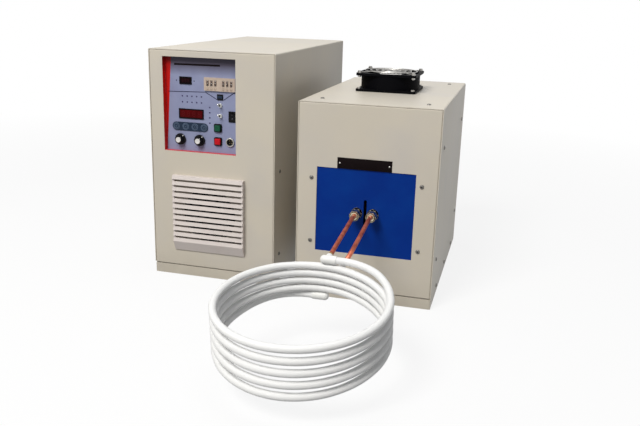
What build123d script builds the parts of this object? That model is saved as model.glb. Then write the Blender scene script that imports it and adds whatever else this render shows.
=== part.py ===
from build123d import *
from dataclasses import dataclass
import math
import os

os.makedirs("parts", exist_ok=True)

# An induction heater: a power cabinet, a work head beside it, and a water-cooled copper coil that
# the work head carries in front. Millimetres, +Z up, the user stands on the -Y side.
# The origin is the middle of the power cabinet's base, on the floor.

# Power cabinet, outside
power_width = 268.0
power_depth = 550.0
power_height = 473.0

# Work head cabinet, outside
head_width = 275.0
head_depth = 475.0
head_height = 391.0
cabinet_gap = 53.0
head_advance = 20.0

# Sheet metal
sheet = 1.5
cover_bend = 3.0
panel_bend = 2.0
cover_gap = 0.3
seam_height = 20.5
seam_gap = 1.0
flange_depth = 60.0
pan_wall = 34.0
pan_notch = 62.0
power_skirt = 23.0

# Case screws
screw_radius = 1.9
screw_hole = 2.1
screw_length = 9.0
screw_head = 4.2
screw_dome = 2.2
power_screw_inset = 34.0
power_screw_levels = (60.0, 237.0)
head_screw_inset = 50.0
head_screw_levels = (88.0, 312.0)
base_screw_inset = 92.0
head_base_screw_middle = 242.0
base_screw_level = 17.0
power_base_level = 28.5
top_screw_margin = 34.0

# Recessed control panel, places measured from the power cabinet's left front bottom corner
window_left = 30.0
window_bottom = 269.0
window_width = 156.0
window_height = 190.0
recess_depth = 12.0
recess_wall = 1.2
recess_flange = 10.0
panel_sheet = 1.5
cutout_gap = 0.3

# Current meter
meter_at = (74.5, 412.0)
meter_size = (26.4, 15.1)
meter_proud = 1.5
meter_depth = 14.0

# Main display
display_at = (85.6, 345.3)
display_size = (54.0, 20.2)
display_proud = 1.5
display_depth = 12.0
glass_recess = 0.6
glass_border = 2.2
display_corner = 0.8
body_lip = 1.5

# Thumbwheel switches
thumb_at = (148.5, 407.6)
thumb_size = (66.0, 26.2)
thumb_proud = 3.5
thumb_depth = 18.0
thumb_corner = 1.0
wheel_group_offset = 16.8
wheel_pitch = 8.4
wheels_per_group = 3
wheel_radius = 8.5
wheel_width = 4.0
wheel_level = 1.9
wheel_proud = 1.2
wheel_teeth = 10
wheel_notch = 0.9
wheel_slot_width = 4.6
wheel_slot_height = 18.0
wheel_window_height = 11.5
wheel_skin = 0.8
wheel_axle = 1.5
wheel_bore = 1.56
tab_size = (3.6, 5.4)
tab_level = -9.3
tab_depth = 0.8

# Mode button
mode_at = (148.8, 382.6)
mode_size = (12.9, 11.5)
mode_bar = (10.2, 4.6)
mode_proud = 1.5
mode_bar_proud = 2.6
mode_travel = 0.8
mode_depth = 7.0
mode_corner = 0.8
mode_edge = 0.3

# Indicator lamps
lamp_radius = 1.5
lamp_rows = (380.8, 368.8)
lamp_row_start = 66.6
lamp_row_pitch = 10.35
lamps_in_row = 5
lamp_column_x = 125.7
lamp_column = (360.6, 350.2, 339.9, 329.2)
lamp_length = 5.0

# Toggle switches
toggle_x = 149.0
toggle_levels = (366.6, 345.6)
bushing_radius = 3.2
bushing_height = 5.0
bushing_bore = 2.6
toggle_nut = 8.0
toggle_nut_height = 1.8
toggle_body = (9.0, 12.0, 14.0)
toggle_ball = 2.3
toggle_pivot = 0.75
toggle_pin = 0.6
toggle_pin_bore = 0.65
toggle_pin_length = 6.0
toggle_neck = 1.1
toggle_tip = 2.0
toggle_neck_length = 6.5
toggle_length = 16.0
toggle_tilt = 12.0

# Power rocker
rocker_at = (174.4, 344.8)
rocker_size = (15.4, 21.7)
rocker_proud = 1.6
rocker_depth = 16.0
rocker_corner = 1.0
rocker_pocket = (10.8, 16.8, 9.0)
rocker_cap = (10.2, 7.5)
rocker_pivot = -1.0
rocker_pin = 1.3
rocker_pin_bore = 1.36
rocker_pin_length = 12.4
rocker_high = 3.4
rocker_low = 1.4
rocker_under = 3.0
rocker_tilt = 10.0

# Start and stop buttons
button_x = 143.6
start_level = 320.3
stop_level = 293.0
button_size = 17.0
button_corner = 2.5
pocket_corner = 1.5
button_proud = 2.2
button_cap = 12.0
button_cap_height = 6.4
cap_corner = 1.3
cap_round = 0.8
button_travel = 3.0
button_depth = 18.0

# Keypad
keypad_at = (83.0, 319.2)
keypad_size = (78.0, 17.1)
keypad_proud = 1.5
keypad_depth = 4.0
key_pitch = 20.2
key_count = 4
key_radius = 5.6
key_proud = 2.2
key_round = 0.4
key_travel = 0.5

# Knobs
knob_places = {"left_knob": (61.0, 292.4), "right_knob": (103.4, 292.4)}
knob_skirt_radius = 11.7
knob_skirt = 2.6
knob_skirt_step = 1.2
knob_lift = 1.0
knob_body_radius = 7.6
knob_top_radius = 6.4
knob_height = 12.6
knob_cap_radius = 5.4
knob_cap = 1.2
shaft_radius = 3.0
shaft_bore = 3.06
shaft_length = 13.0
pot_radius = 8.0
pot_length = 9.0
pot_bushing = 4.5

# Foot switch socket
socket_at = (169.6, 293.0)
socket_ring = 9.3
socket_shell = 8.2
socket_bore = 7.0
socket_proud = 3.0
socket_depth = 16.0
socket_floor = 4.5
socket_round = 1.0
insert_gap = 0.05
contact_count = 4
contact_circle = 3.6
contact_radius = 0.9

# Intake grille, middle measured like the panel
grille_at = (126.8, 138.0)
grille_width = 155.0
grille_top_band = 10.0
grille_chin = 18.5
grille_pitch = 12.2
grille_slots = 11
grille_slot = 5.0
grille_depth = 12.0
grille_back = 7.0
grille_side = 3.5
grille_lean = 2.5

# Axial fans
fan_depth = 38.0
fan_flange = 5.0
fan_corner = 5.0
fan_wall = 2.5
fan_hub_radius = 30.0
fan_base_radius = 29.0
fan_strut = 5.0
fan_base = 8.0
fan_clearance = 1.5
blade_count = 7
blade_thick = 2.0
blade_pitch = 32.0
blade_chord = 26.0
rotor_height = 24.0
rotor_shaft = 4.0
rotor_shaft_bore = 4.06
fan_hole_radius = 2.2
top_fan_size = 127.0
top_fan_hole_inset = 6.85
top_fan_hole_pitch = top_fan_size - 2 * top_fan_hole_inset
top_fan_at = (130.0, 258.0)
power_fan_size = 120.0
power_fan_hole_inset = 7.6
power_fan_hole_pitch = power_fan_size - 2 * power_fan_hole_inset

# Finger guard and fan screws
guard_wire = 1.0
guard_rings = (20.0, 32.0, 44.0, 56.0)
guard_eye = 4.6
guard_eye_thick = 2.6
fan_screw_radius = 2.0
fan_nut = 3.6
fan_nut_height = 3.2
fan_screw_head = 3.8
fan_screw_end = 1.0
fan_screw_under = 4.0

# Inside the power cabinet
heatsink_width = 200.0
heatsink_base = 12.0
heatsink_top = 74.0
fin_count = 11
fin_thick = 3.0
fin_height = 40.0
heatsink_back = 150.0
module_corner = 3.0
module_sizes = ((62.0, 106.0), (62.0, 106.0), (94.0, 34.0))
module_places = ((-45.0, 40.0), (45.0, 40.0), (0.0, -70.0))
module_height = 30.0
capacitor_radius = 30.0
capacitor_height = 105.0
capacitor_pitch = 63.0
capacitor_count = 4
capacitor_round = 2.0
capacitor_inset = 90.0
capacitor_gap = 20.0
board_size = (150.0, 188.0)
board_thick = 1.6
board_behind = 32.0
board_post = 3.0
board_post_inset = 6.0

# Terminal board of the work head, places measured from the work head's left front bottom corner
opening_left = 40.0
opening_bottom = 97.0
opening_width = 192.4
opening_height = 169.5
terminal_board_margin = 18.0
terminal_board_thick = 6.0
terminal_x = 137.5
terminal_z = 181.0
terminal_spacing = 31.8
slot_width = 6.0
slot_bottom = 146.0
slot_top = 208.0
board_screw_x = (29.5, 244.0)
board_screw_z = (116.0, 244.0)
plate_width = 106.0
plate_height = 21.5
plate_thick = 0.8
plate_x = 133.0

# Output terminals
stud_radius = 7.0
stud_hole = 7.3
stud_bore = 3.0
stud_reach = 13.0
stud_inside = 22.0
washer_radius = 11.0
washer_thick = 2.5
nut_flats = 19.0
nut_length = 15.0
nut_back = 8.0
nut_thread = 7.05
nut_mouth = 4.3

# Copper coil
leg_radius = 4.0
leg_wall = 1.0
leg_collar = 6.2
leg_collar_length = 2.5
leg_run_out = 38.0
leg_droop = 6.8
leg_bend = 50.0
coil_radius = 134.0
coil_reach = 181.0
coil_offset = -21.9
coil_turns = 5
coil_front_first = 5.9
coil_front_pitch = 19.5
coil_back_pitch = 13.9
tube_radius = 5.0
tube_wall = 1.0
sleeve_radius = 6.25
sleeve_bore = 5.2
sleeve_straight = 13.0
sleeve_back_off = 8.0
return_gap = 16.7
return_bend = 14.0
return_end_bend = 8.2
return_sleeve_below = 1.0
return_x = -27.0
return_sleeve = 5.3
return_sleeve_bore = 4.15
boot_radius = 7.4
boot_nose = 13.0
boot_length = 15.0
boot_side_radius = 5.9
boot_side_reach = 13.0

# Inside the work head
busbar_thick = 10.0
busbar_height = 50.0
busbar_back = 170.0
core_size = (190.0, 60.0, 140.0)
core_window = (100.0, 70.0)
core_back = 60.0
winding_wall = 6.0
winding_gap = 0.4
cradle_width = 120.0
cradle_sheet = 3.0
tank_capacitor = (60.0, 50.0, 110.0)
tank_corner = 3.0
tank_capacitor_count = 3
tank_capacitor_pitch = 72.0
tank_capacitor_back = 300.0

# Rear connections
spigot_radius = 5.0
spigot_length = 22.0
spigot_bore = 3.5
spigot_hex = 17.0
spigot_hex_length = 8.0
spigot_pitch = 60.0
spigot_level = 70.0
power_stud_radius = 4.0
power_stud_length = 20.0
power_stud_base = 14.0
power_stud_base_length = 10.0
power_stud_pitch = 80.0
power_stud_level = 150.0
earth_stud_level = 60.0
gland_hex = 32.0
gland_hex_length = 14.0
gland_thread = 12.5
gland_inside = 14.0
gland_bore = 8.0
gland_at = (60.0, 110.0)
vent_count = 9
vent_size = (120.0, 5.0)
vent_pitch = 13.0
power_vent_level = 330.0
head_vent_level = 270.0


@dataclass
class Cabinet:
    """A sheet metal case, placed by its left front bottom corner."""
    left: float
    front: float
    width: float
    depth: float
    height: float
    skirt: float


power = Cabinet(-power_width / 2, -power_depth / 2, power_width, power_depth, power_height, power_skirt)
head_left = power_width / 2 + cabinet_gap
head = Cabinet(head_left, power.front - head_advance, head_width, head_depth, head_height, 0.0)
inset = sheet + cover_gap
panel_floor = seam_height + seam_gap


def write(piece, node):
    """Label a finished piece and write its STEP file."""
    piece.part.label = node
    export_step(piece.part, f"parts/{node}.step")


def facing(case, behind=0.0):
    """Upright plane a distance behind a case's front: x from its left side, y up, z towards the user."""
    return Plane(origin=(case.left, case.front + behind, 0), x_dir=(1, 0, 0), z_dir=(0, -1, 0))


def rear_facing(case):
    """Upright plane on a case's back: x from its left side, y up, z towards the user."""
    return facing(case, case.depth)


def spot(case, x, y, z, outward):
    """Location in a case's own measures, its z axis pointing outward."""
    return Plane(origin=(case.left + x, case.front + y, z), z_dir=outward).location


# Places of the case screws
LEFT, RIGHT, UP, FRONT, BACK = (-1, 0, 0), (1, 0, 0), (0, 0, 1), (0, -1, 0), (0, 1, 0)


def side_spots(case, depths, levels):
    """Screw places on both side walls."""
    sides = ((0.0, LEFT), (case.width, RIGHT))
    return [spot(case, x, y, z, out) for x, out in sides for y in depths for z in levels]


power_end_depths = (power_screw_inset, power.depth - power_screw_inset)
head_end_depths = (head_screw_inset, head.depth - head_screw_inset)
power_spots = side_spots(power, power_end_depths, power_screw_levels)
power_pan_depths = (power.depth / 2, power.depth - base_screw_inset)
head_pan_depths = (base_screw_inset, head_base_screw_middle, head.depth - base_screw_inset)
power_pan_spots = side_spots(power, power_pan_depths, (power_base_level,))
head_end_spots = side_spots(head, head_end_depths, head_screw_levels)
head_pan_spots = side_spots(head, head_pan_depths, (base_screw_level,))
head_top_spots = [
    spot(head, x, y, head.height, UP)
    for x in (top_screw_margin, head.width - top_screw_margin)
    for y in head_end_depths
]
board_spots = [spot(head, x, 0.0, z, FRONT) for x in board_screw_x for z in board_screw_z]


def drill(places, radius, depth):
    """Holes inward from these places, in the part being built."""
    with Locations(*places):
        Cylinder(radius, 2 * depth, mode=Mode.SUBTRACT)


# Case pieces
def make_cover(case, places):
    """Inverted U of sheet: both sides and the top."""
    with BuildPart() as cover:
        with BuildSketch(facing(case)):
            with Locations((case.width / 2, (case.skirt + case.height) / 2)):
                Rectangle(case.width, case.height - case.skirt)
        extrude(amount=-case.depth)
        fillet(cover.edges().filter_by(Axis.Y).group_by(Axis.Z)[-1], cover_bend)
        open_faces = cover.faces().filter_by(Axis.Y) + cover.faces().sort_by(Axis.Z)[:1]
        offset(amount=-sheet, openings=open_faces)
        drill(places, screw_hole, screw_length)
    return cover


def make_end_panel(case, plane, inward, places):
    """Front or rear panel: a sheet with its edges folded inward, standing between the cover's walls."""
    wide = case.width - 2 * inset
    tall = case.height - inset - panel_floor
    with BuildPart() as panel:
        with BuildSketch(plane):
            with Locations((case.width / 2, panel_floor + tall / 2)):
                Rectangle(wide, tall)
        extrude(amount=-inward * flange_depth)
        fillet(panel.edges().filter_by(Axis.Y).group_by(Axis.Z)[-1], panel_bend)
        outer = panel.faces().sort_by(Axis.Y)[0 if inward > 0 else -1]
        fillet(outer.edges(), panel_bend)
        inner = panel.faces().sort_by(Axis.Y)[-1 if inward > 0 else 0]
        offset(amount=-sheet, openings=inner)
        drill(places, screw_hole, screw_length)
    return panel


def make_pan(case, places):
    """Base tray, its walls lower at both ends, where the end panels stand over them."""
    with BuildPart() as pan:
        with BuildSketch(Plane(origin=(case.left + inset, case.front, 0))):
            Rectangle(case.width - 2 * inset, case.depth, align=(Align.MIN, Align.MIN))
        extrude(amount=pan_wall)
        offset(amount=-sheet, openings=pan.faces().sort_by(Axis.Z)[-1])
        for start in (0.0, case.depth - pan_notch):
            with BuildSketch(Plane(origin=(case.left, case.front + start, seam_height))):
                Rectangle(case.width, pan_notch, align=(Align.MIN, Align.MIN))
            extrude(amount=pan_wall, mode=Mode.SUBTRACT)
        drill(places, screw_hole, screw_length)
    return pan


def cut_vents(case, level):
    """Horizontal air slots through the rear panel being built."""
    with BuildSketch(rear_facing(case)) as slots:
        with Locations((case.width / 2, level)):
            with GridLocations(0, vent_pitch, 1, vent_count):
                SlotOverall(*vent_size)
    extrude(slots.sketch, amount=3 * sheet, both=True, mode=Mode.SUBTRACT)


# Power cabinet case
write(make_pan(power, power_pan_spots), "power_base_pan")
write(make_cover(power, power_spots + power_pan_spots), "power_cover")

power_fan_bore = power_fan_size / 2 - fan_wall
power_fan_spots = [
    (grille_at[0] + sx * power_fan_hole_pitch / 2, grille_at[1] + sz * power_fan_hole_pitch / 2)
    for sx in (-1, 1)
    for sz in (-1, 1)
]
window_middle = (window_left + window_width / 2, window_bottom + window_height / 2)

power_front_panel = make_end_panel(power, facing(power), 1, power_spots)
with power_front_panel:
    with BuildSketch(facing(power)) as openings:
        with Locations(window_middle):
            Rectangle(window_width, window_height)
        with Locations(grille_at):
            Circle(power_fan_bore)
        with Locations(*power_fan_spots):
            Circle(fan_hole_radius)
    extrude(openings.sketch, amount=-2 * sheet, mode=Mode.SUBTRACT)
write(power_front_panel, "power_front_panel")

# Rear connection places
power_spigot_spots = [(power.width / 2 + s * spigot_pitch / 2, spigot_level) for s in (-1, 1)]
head_spigot_spots = [(head.width / 2 + s * spigot_pitch / 2, spigot_level) for s in (-1, 1)]
power_stud_spots = [(power.width / 2 + s * power_stud_pitch / 2, power_stud_level) for s in (-1, 1)]
head_stud_spots = [(head.width / 2 + s * power_stud_pitch / 2, power_stud_level) for s in (-1, 1)]
earth_spot = (power.width - gland_at[0], earth_stud_level)
rear_thread = spigot_radius + 1.0

power_rear_panel = make_end_panel(power, rear_facing(power), -1, power_spots)
with power_rear_panel:
    cut_vents(power, power_vent_level)
    with BuildSketch(rear_facing(power)) as openings:
        with Locations(*power_spigot_spots):
            Circle(rear_thread + cutout_gap)
        with Locations(*power_stud_spots, earth_spot):
            Circle(power_stud_radius + cutout_gap)
        with Locations(gland_at):
            Circle(gland_thread + cutout_gap)
    extrude(openings.sketch, amount=3 * sheet, both=True, mode=Mode.SUBTRACT)
write(power_rear_panel, "power_rear_panel")


# Control panel and what it carries
def on_panel(height=0.0):
    """Plane parallel to the control panel, this far in front of its face."""
    return facing(power, recess_depth - height)


def slab(at, size, start, amount, corner=0.0, mode=Mode.ADD):
    """Rectangular block on the panel, from start out to start + amount."""
    with BuildSketch(on_panel(start)) as outline:
        with Locations(at):
            if corner > 0:
                RectangleRounded(*size, corner)
            else:
                Rectangle(*size)
    extrude(outline.sketch, amount=amount, mode=mode)


def disc(at, radius, start, amount, mode=Mode.ADD):
    """Round block on the panel, from start out to start + amount."""
    with BuildSketch(on_panel(start)) as outline:
        with Locations(at):
            Circle(radius)
    extrude(outline.sketch, amount=amount, mode=mode)


def grown(size, by):
    """A rectangle's size with this much added on each side."""
    return (size[0] + 2 * by, size[1] + 2 * by)


def cutout(size):
    """Panel cutout for a component whose bezel has this size."""
    return grown(size, cutout_gap - body_lip)


lamp_spots = [
    (lamp_row_start + i * lamp_row_pitch, row) for row in lamp_rows for i in range(lamps_in_row)
] + [(lamp_column_x, z) for z in lamp_column]
button_square = (button_size, button_size)
button_spots = ((button_x, start_level), (button_x, stop_level))
toggle_spots = [(toggle_x, z) for z in toggle_levels]
knob_spots = list(knob_places.values())
square_cutouts = [
    (meter_at, meter_size),
    (display_at, display_size),
    (thumb_at, thumb_size),
    (mode_at, mode_size),
    (rocker_at, rocker_size),
    (button_spots[0], button_square),
    (button_spots[1], button_square),
]
keypad_body = grown(keypad_size, -body_lip)
board_at = window_middle
board_reach = grown((0.0, 0.0), -board_post_inset)
board_post_off = [(length + reach) / 2 for length, reach in zip(board_size, board_reach)]
board_posts = [
    (board_at[0] + sx * board_post_off[0], board_at[1] + sz * board_post_off[1])
    for sx in (-1, 1)
    for sz in (-1, 1)
]

with BuildPart() as control_panel:
    with BuildSketch(facing(power, sheet)):
        with Locations(window_middle):
            Rectangle(*grown((window_width, window_height), recess_flange))
    extrude(amount=-recess_wall)
    slab(window_middle, grown((window_width, window_height), recess_wall), -panel_sheet,
         recess_depth + panel_sheet - sheet)
    slab(window_middle, (window_width, window_height), 0.0, recess_depth, mode=Mode.SUBTRACT)
    for at, size in square_cutouts:
        slab(at, cutout(size), 0.0, -2 * panel_sheet, mode=Mode.SUBTRACT)
    with BuildSketch(on_panel()):
        with Locations(*lamp_spots):
            Circle(lamp_radius + cutout_gap / 2)
        with Locations(*toggle_spots):
            Circle(bushing_radius + cutout_gap / 2)
        with Locations(*knob_spots):
            Circle(pot_bushing + cutout_gap)
        with Locations(socket_at):
            Circle(socket_shell + cutout_gap)
        with Locations(keypad_at):
            SlotOverall(*grown(keypad_body, cutout_gap))
    extrude(amount=-2 * panel_sheet, mode=Mode.SUBTRACT)
write(control_panel, "control_panel")


def make_display(at, size, proud, depth):
    """Display bezel with a sunk glass, and its body behind the panel."""
    with BuildPart() as display:
        slab(at, size, 0.0, proud, corner=display_corner)
        slab(at, grown(size, -body_lip), 0.0, -depth)
        slab(at, grown(size, -glass_border), proud, -glass_recess, mode=Mode.SUBTRACT)
    return display


write(make_display(meter_at, meter_size, meter_proud, meter_depth), "current_meter")
write(make_display(display_at, display_size, display_proud, display_depth), "main_display")


def along_x(x, height, z):
    """Location on the panel whose z axis runs to the right."""
    return Plane(origin=(power.left + x, power.front + recess_depth - height, z), z_dir=RIGHT).location


# Thumbwheel block and its six wheels, all on one axle
wheel_z = thumb_at[1] + wheel_level
wheel_axle_height = thumb_proud + wheel_proud - wheel_radius
wheel_spots = [
    (thumb_at[0] + side * wheel_group_offset + (i - (wheels_per_group - 1) / 2) * wheel_pitch, wheel_z)
    for side in (-1, 1)
    for i in range(wheels_per_group)
]


with BuildPart() as thumbwheel_block:
    slab(thumb_at, thumb_size, 0.0, thumb_proud, corner=thumb_corner)
    slab(thumb_at, grown(thumb_size, -body_lip), 0.0, -thumb_depth)
    for at in wheel_spots:
        slab(at, (wheel_slot_width, wheel_window_height), thumb_proud, -thumb_proud, mode=Mode.SUBTRACT)
        slab(at, (wheel_slot_width, wheel_slot_height), thumb_proud - wheel_skin,
             -2 * wheel_radius, mode=Mode.SUBTRACT)
        slab((at[0], thumb_at[1] + tab_level), tab_size, thumb_proud, -tab_depth, mode=Mode.SUBTRACT)
    with Locations(along_x(thumb_at[0], wheel_axle_height, wheel_z)):
        Cylinder(wheel_axle, thumb_size[0] - 4 * body_lip)
write(thumbwheel_block, "thumbwheel_block")

for number, at in enumerate(wheel_spots, start=1):
    with BuildPart() as thumbwheel:
        with Locations(along_x(at[0], wheel_axle_height, at[1])):
            Cylinder(wheel_radius, wheel_width)
            with PolarLocations(wheel_radius, wheel_teeth, start_angle=180 / wheel_teeth):
                Cylinder(wheel_notch, wheel_width, mode=Mode.SUBTRACT)
            Cylinder(wheel_bore, wheel_width, mode=Mode.SUBTRACT)
    write(thumbwheel, f"thumbwheel_{number}")

# Bezels of the rocker, the mode button and the start and stop buttons
with BuildPart() as switch_bezels:
    slab(rocker_at, rocker_size, 0.0, rocker_proud, corner=rocker_corner)
    slab(rocker_at, grown(rocker_size, -body_lip), 0.0, -rocker_depth)
    slab(rocker_at, rocker_pocket[:2], rocker_proud, -rocker_pocket[2], mode=Mode.SUBTRACT)
    with Locations(along_x(rocker_at[0], rocker_pivot, rocker_at[1])):
        Cylinder(rocker_pin_bore, rocker_pin_length + cutout_gap, mode=Mode.SUBTRACT)
    slab(mode_at, mode_size, 0.0, mode_proud, corner=mode_corner)
    slab(mode_at, grown(mode_size, -body_lip), 0.0, -mode_depth)
    slab(mode_at, grown(mode_bar, cutout_gap), mode_proud, panel_sheet - mode_proud - mode_depth,
         mode=Mode.SUBTRACT)
    for at in button_spots:
        slab(at, button_square, 0.0, button_proud, corner=button_corner)
        slab(at, grown(button_square, -body_lip), 0.0, -button_depth)
        slab(at, grown((button_cap, button_cap), cutout_gap), button_proud,
             2 * panel_sheet - button_proud - button_depth, corner=pocket_corner, mode=Mode.SUBTRACT)
write(switch_bezels, "switch_bezels")

mode_reach = mode_travel + cutout_gap + panel_sheet
with BuildPart() as mode_button:
    slab(mode_at, mode_bar, mode_reach - mode_depth, mode_bar_proud + mode_depth - mode_reach)
    chamfer(mode_button.faces().sort_by(Axis.Y)[0].edges(), mode_edge)
write(mode_button, "mode_button")

button_reach = button_travel + cutout_gap + 2 * panel_sheet
for at, name in zip(button_spots, ("start_button", "stop_button")):
    with BuildPart() as button:
        slab(at, (button_cap, button_cap), button_reach - button_depth,
             button_cap_height + button_depth - button_reach, corner=cap_corner)
        fillet(button.faces().sort_by(Axis.Y)[0].edges(), cap_round)
    write(button, name)

# Indicator lamps
with BuildPart() as indicator_lamps:
    with BuildSketch(on_panel()):
        with Locations(*lamp_spots):
            Circle(lamp_radius)
    extrude(amount=-lamp_length)
    with Locations(*[spot(power, x, recess_depth, z, FRONT) for x, z in lamp_spots]):
        Sphere(lamp_radius, arc_size1=0)
write(indicator_lamps, "indicator_lamps")

# Bodies of the toggle switches and of the potentiometers
with BuildPart() as control_bodies:
    for at in toggle_spots:
        disc(at, bushing_radius, -panel_sheet, panel_sheet + bushing_height)
        with BuildSketch(on_panel()):
            with Locations(at):
                RegularPolygon(toggle_nut / 2, 6, major_radius=False)
        extrude(amount=toggle_nut_height)
        slab(at, toggle_body[:2], -panel_sheet, -toggle_body[2])
        disc(at, bushing_bore, bushing_height, -bushing_height - toggle_pivot - toggle_ball - cutout_gap,
             mode=Mode.SUBTRACT)
        with Locations(along_x(at[0], -toggle_pivot, at[1])):
            Cylinder(toggle_pin_bore, 2 * bushing_radius + cutout_gap, mode=Mode.SUBTRACT)
    for at in knob_spots:
        disc(at, pot_bushing, -panel_sheet, panel_sheet + knob_lift / 2)
        disc(at, pot_radius, -panel_sheet, -pot_length)
        disc(at, shaft_bore, knob_lift, -knob_lift - shaft_length, mode=Mode.SUBTRACT)
write(control_bodies, "control_bodies")

# Toggle levers, standing on the switch's upper side
for at, name in zip(toggle_spots, ("upper_toggle", "lower_toggle")):
    pivot = Plane(
        origin=(power.left + at[0], power.front + recess_depth + toggle_pivot, at[1]),
        x_dir=RIGHT,
        z_dir=FRONT,
    ).location * Rotation(-toggle_tilt, 0, 0)
    lever = Plane(pivot)
    with BuildPart() as toggle:
        with BuildSketch(Plane(origin=lever.origin, x_dir=lever.x_dir, z_dir=-lever.y_dir)):
            with BuildLine():
                Polyline(
                    (0, 0),
                    (toggle_neck, 0),
                    (toggle_neck, toggle_neck_length),
                    (toggle_tip, toggle_length - toggle_tip),
                )
                RadiusArc((toggle_tip, toggle_length - toggle_tip), (0, toggle_length), -toggle_tip)
                Line((0, toggle_length), (0, 0))
            make_face()
        revolve(axis=Axis(lever.origin, lever.z_dir))
        with Locations(Location(lever.origin)):
            Sphere(toggle_ball)
        with Locations(along_x(at[0], -toggle_pivot, at[1])):
            Cylinder(toggle_pin, toggle_pin_length)
    write(toggle, name)

# Power rocker
rocker_middle = Plane(
    origin=(power.left + rocker_at[0], power.front + recess_depth - rocker_pivot, rocker_at[1]),
    x_dir=UP,
    z_dir=RIGHT,
).location * Rotation(0, 0, rocker_tilt)
with BuildPart() as power_rocker:
    with BuildSketch(Plane(rocker_middle)):
        with BuildLine():
            Polyline(
                (-rocker_cap[1], -rocker_under),
                (-rocker_cap[1], rocker_high),
                (0, rocker_low),
                (rocker_cap[1], rocker_high),
                (rocker_cap[1], -rocker_under),
                close=True,
            )
        make_face()
    extrude(amount=rocker_cap[0] / 2, both=True)
    with Locations(rocker_middle):
        Cylinder(rocker_pin, rocker_pin_length)
write(power_rocker, "power_rocker")

# Keypad
key_spots = [(keypad_at[0] + (i - (key_count - 1) / 2) * key_pitch, keypad_at[1]) for i in range(key_count)]
with BuildPart() as keypad_bezel:
    with BuildSketch(on_panel()):
        with Locations(keypad_at):
            SlotOverall(*keypad_size)
    extrude(amount=keypad_proud)
    with BuildSketch(on_panel()):
        with Locations(keypad_at):
            SlotOverall(*keypad_body)
    extrude(amount=-keypad_depth)
    for at in key_spots:
        disc(at, key_radius + cutout_gap, keypad_proud, recess_wall / 2 - keypad_proud - keypad_depth,
             mode=Mode.SUBTRACT)
write(keypad_bezel, "keypad_bezel")

key_back = keypad_depth - recess_wall / 2 - key_travel - cutout_gap
for number, at in enumerate(key_spots, start=1):
    with BuildPart() as key:
        disc(at, key_radius, -key_back, key_proud + key_back)
        fillet(key.faces().sort_by(Axis.Y)[0].edges(), key_round)
    write(key, f"keypad_key_{number}")

# Knobs, each with its shaft in a potentiometer
for name, at in knob_places.items():
    middle = Plane(
        origin=(power.left + at[0], power.front + recess_depth, at[1]), x_dir=RIGHT, z_dir=(0, 0, -1)
    )
    with BuildPart() as knob:
        with BuildSketch(middle):
            with BuildLine():
                Polyline(
                    (0, cutout_gap - panel_sheet - pot_length),
                    (shaft_radius, cutout_gap - panel_sheet - pot_length),
                    (shaft_radius, knob_lift),
                    (knob_skirt_radius, knob_lift),
                    (knob_skirt_radius, knob_lift + knob_skirt / 2),
                    (knob_skirt_radius - knob_skirt_step, knob_lift + knob_skirt),
                    (knob_body_radius, knob_lift + knob_skirt),
                    (knob_top_radius, knob_height),
                    (knob_cap_radius, knob_height),
                    (knob_cap_radius, knob_height + knob_cap),
                    (0, knob_height + knob_cap),
                    close=True,
                )
            make_face()
        revolve(axis=Axis(middle.origin, FRONT))
    write(knob, name)

# Foot switch socket: metal shell and, loose in it, the contact insert
with BuildPart() as footswitch_socket:
    disc(socket_at, socket_ring, 0.0, socket_proud)
    fillet(footswitch_socket.faces().sort_by(Axis.Y)[0].edges(), socket_round)
    disc(socket_at, socket_shell, 0.0, -socket_depth)
    disc(socket_at, socket_bore, socket_proud, -socket_proud - socket_depth, mode=Mode.SUBTRACT)
    disc(socket_at, socket_bore - insert_gap, -socket_floor, socket_floor - socket_depth + recess_wall)
    with BuildSketch(on_panel(-socket_floor)):
        with Locations(socket_at):
            with PolarLocations(contact_circle, contact_count):
                Circle(contact_radius)
    extrude(amount=-socket_floor, mode=Mode.SUBTRACT)
write(footswitch_socket, "footswitch_socket")

# Control board on its posts, behind the panel
with BuildPart() as control_board:
    slab(board_at, board_size, -board_behind, -board_thick)
    for at in board_posts:
        disc(at, board_post, -panel_sheet, panel_sheet - board_behind)
write(control_board, "control_board")

# Intake grille: leaning slats between two side bars, over a sloped chin
grille_height = grille_top_band + grille_slots * grille_pitch + grille_chin
grille_top = grille_at[1] + grille_height / 2
grille_left = grille_at[0] - grille_width / 2
grille_right = power.left + grille_left + grille_width
grille_plane = Plane(origin=(grille_right, power.front, 0), x_dir=FRONT, z_dir=LEFT)


def grille_bar(points):
    """Bar across the grille from its side profile: distance out from the case, height."""
    with BuildSketch(grille_plane) as profile:
        with BuildLine():
            Polyline(*points, close=True)
        make_face()
    extrude(profile.sketch, amount=grille_width)


with BuildPart() as intake_grille:
    band_floor = grille_top - grille_top_band + grille_slot / 2
    band_top = (grille_depth - grille_lean, grille_top)
    grille_bar([(0, grille_top), (0, band_floor), (grille_depth, band_floor), band_top])
    for i in range(grille_slots):
        slat_top = band_floor - grille_slot - i * grille_pitch
        slat_floor = slat_top - grille_pitch + grille_slot
        slat = [(grille_back, slat_top), (grille_back, slat_floor), (grille_depth, slat_floor)]
        grille_bar(slat + [(grille_depth - grille_lean, slat_top)])
    chin_top = slat_floor
    chin_floor = grille_top - grille_height
    grille_bar([(0, chin_top), (grille_depth, chin_top), (grille_lean, chin_floor), (0, chin_floor)])
    with BuildSketch(facing(power)):
        with Locations((grille_at[0], (grille_top + chin_top) / 2)):
            with GridLocations(grille_width - grille_side, 0, 2, 1):
                Rectangle(grille_side, grille_top - chin_top)
    extrude(amount=grille_depth - grille_lean)
write(intake_grille, "intake_grille")


# Axial fans, built standing on the XY plane with the air going up
def square_corners(pitch):
    """The four corner places of a square hole pattern."""
    return [(sx * pitch / 2, sy * pitch / 2) for sx in (-1, 1) for sy in (-1, 1)]


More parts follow.
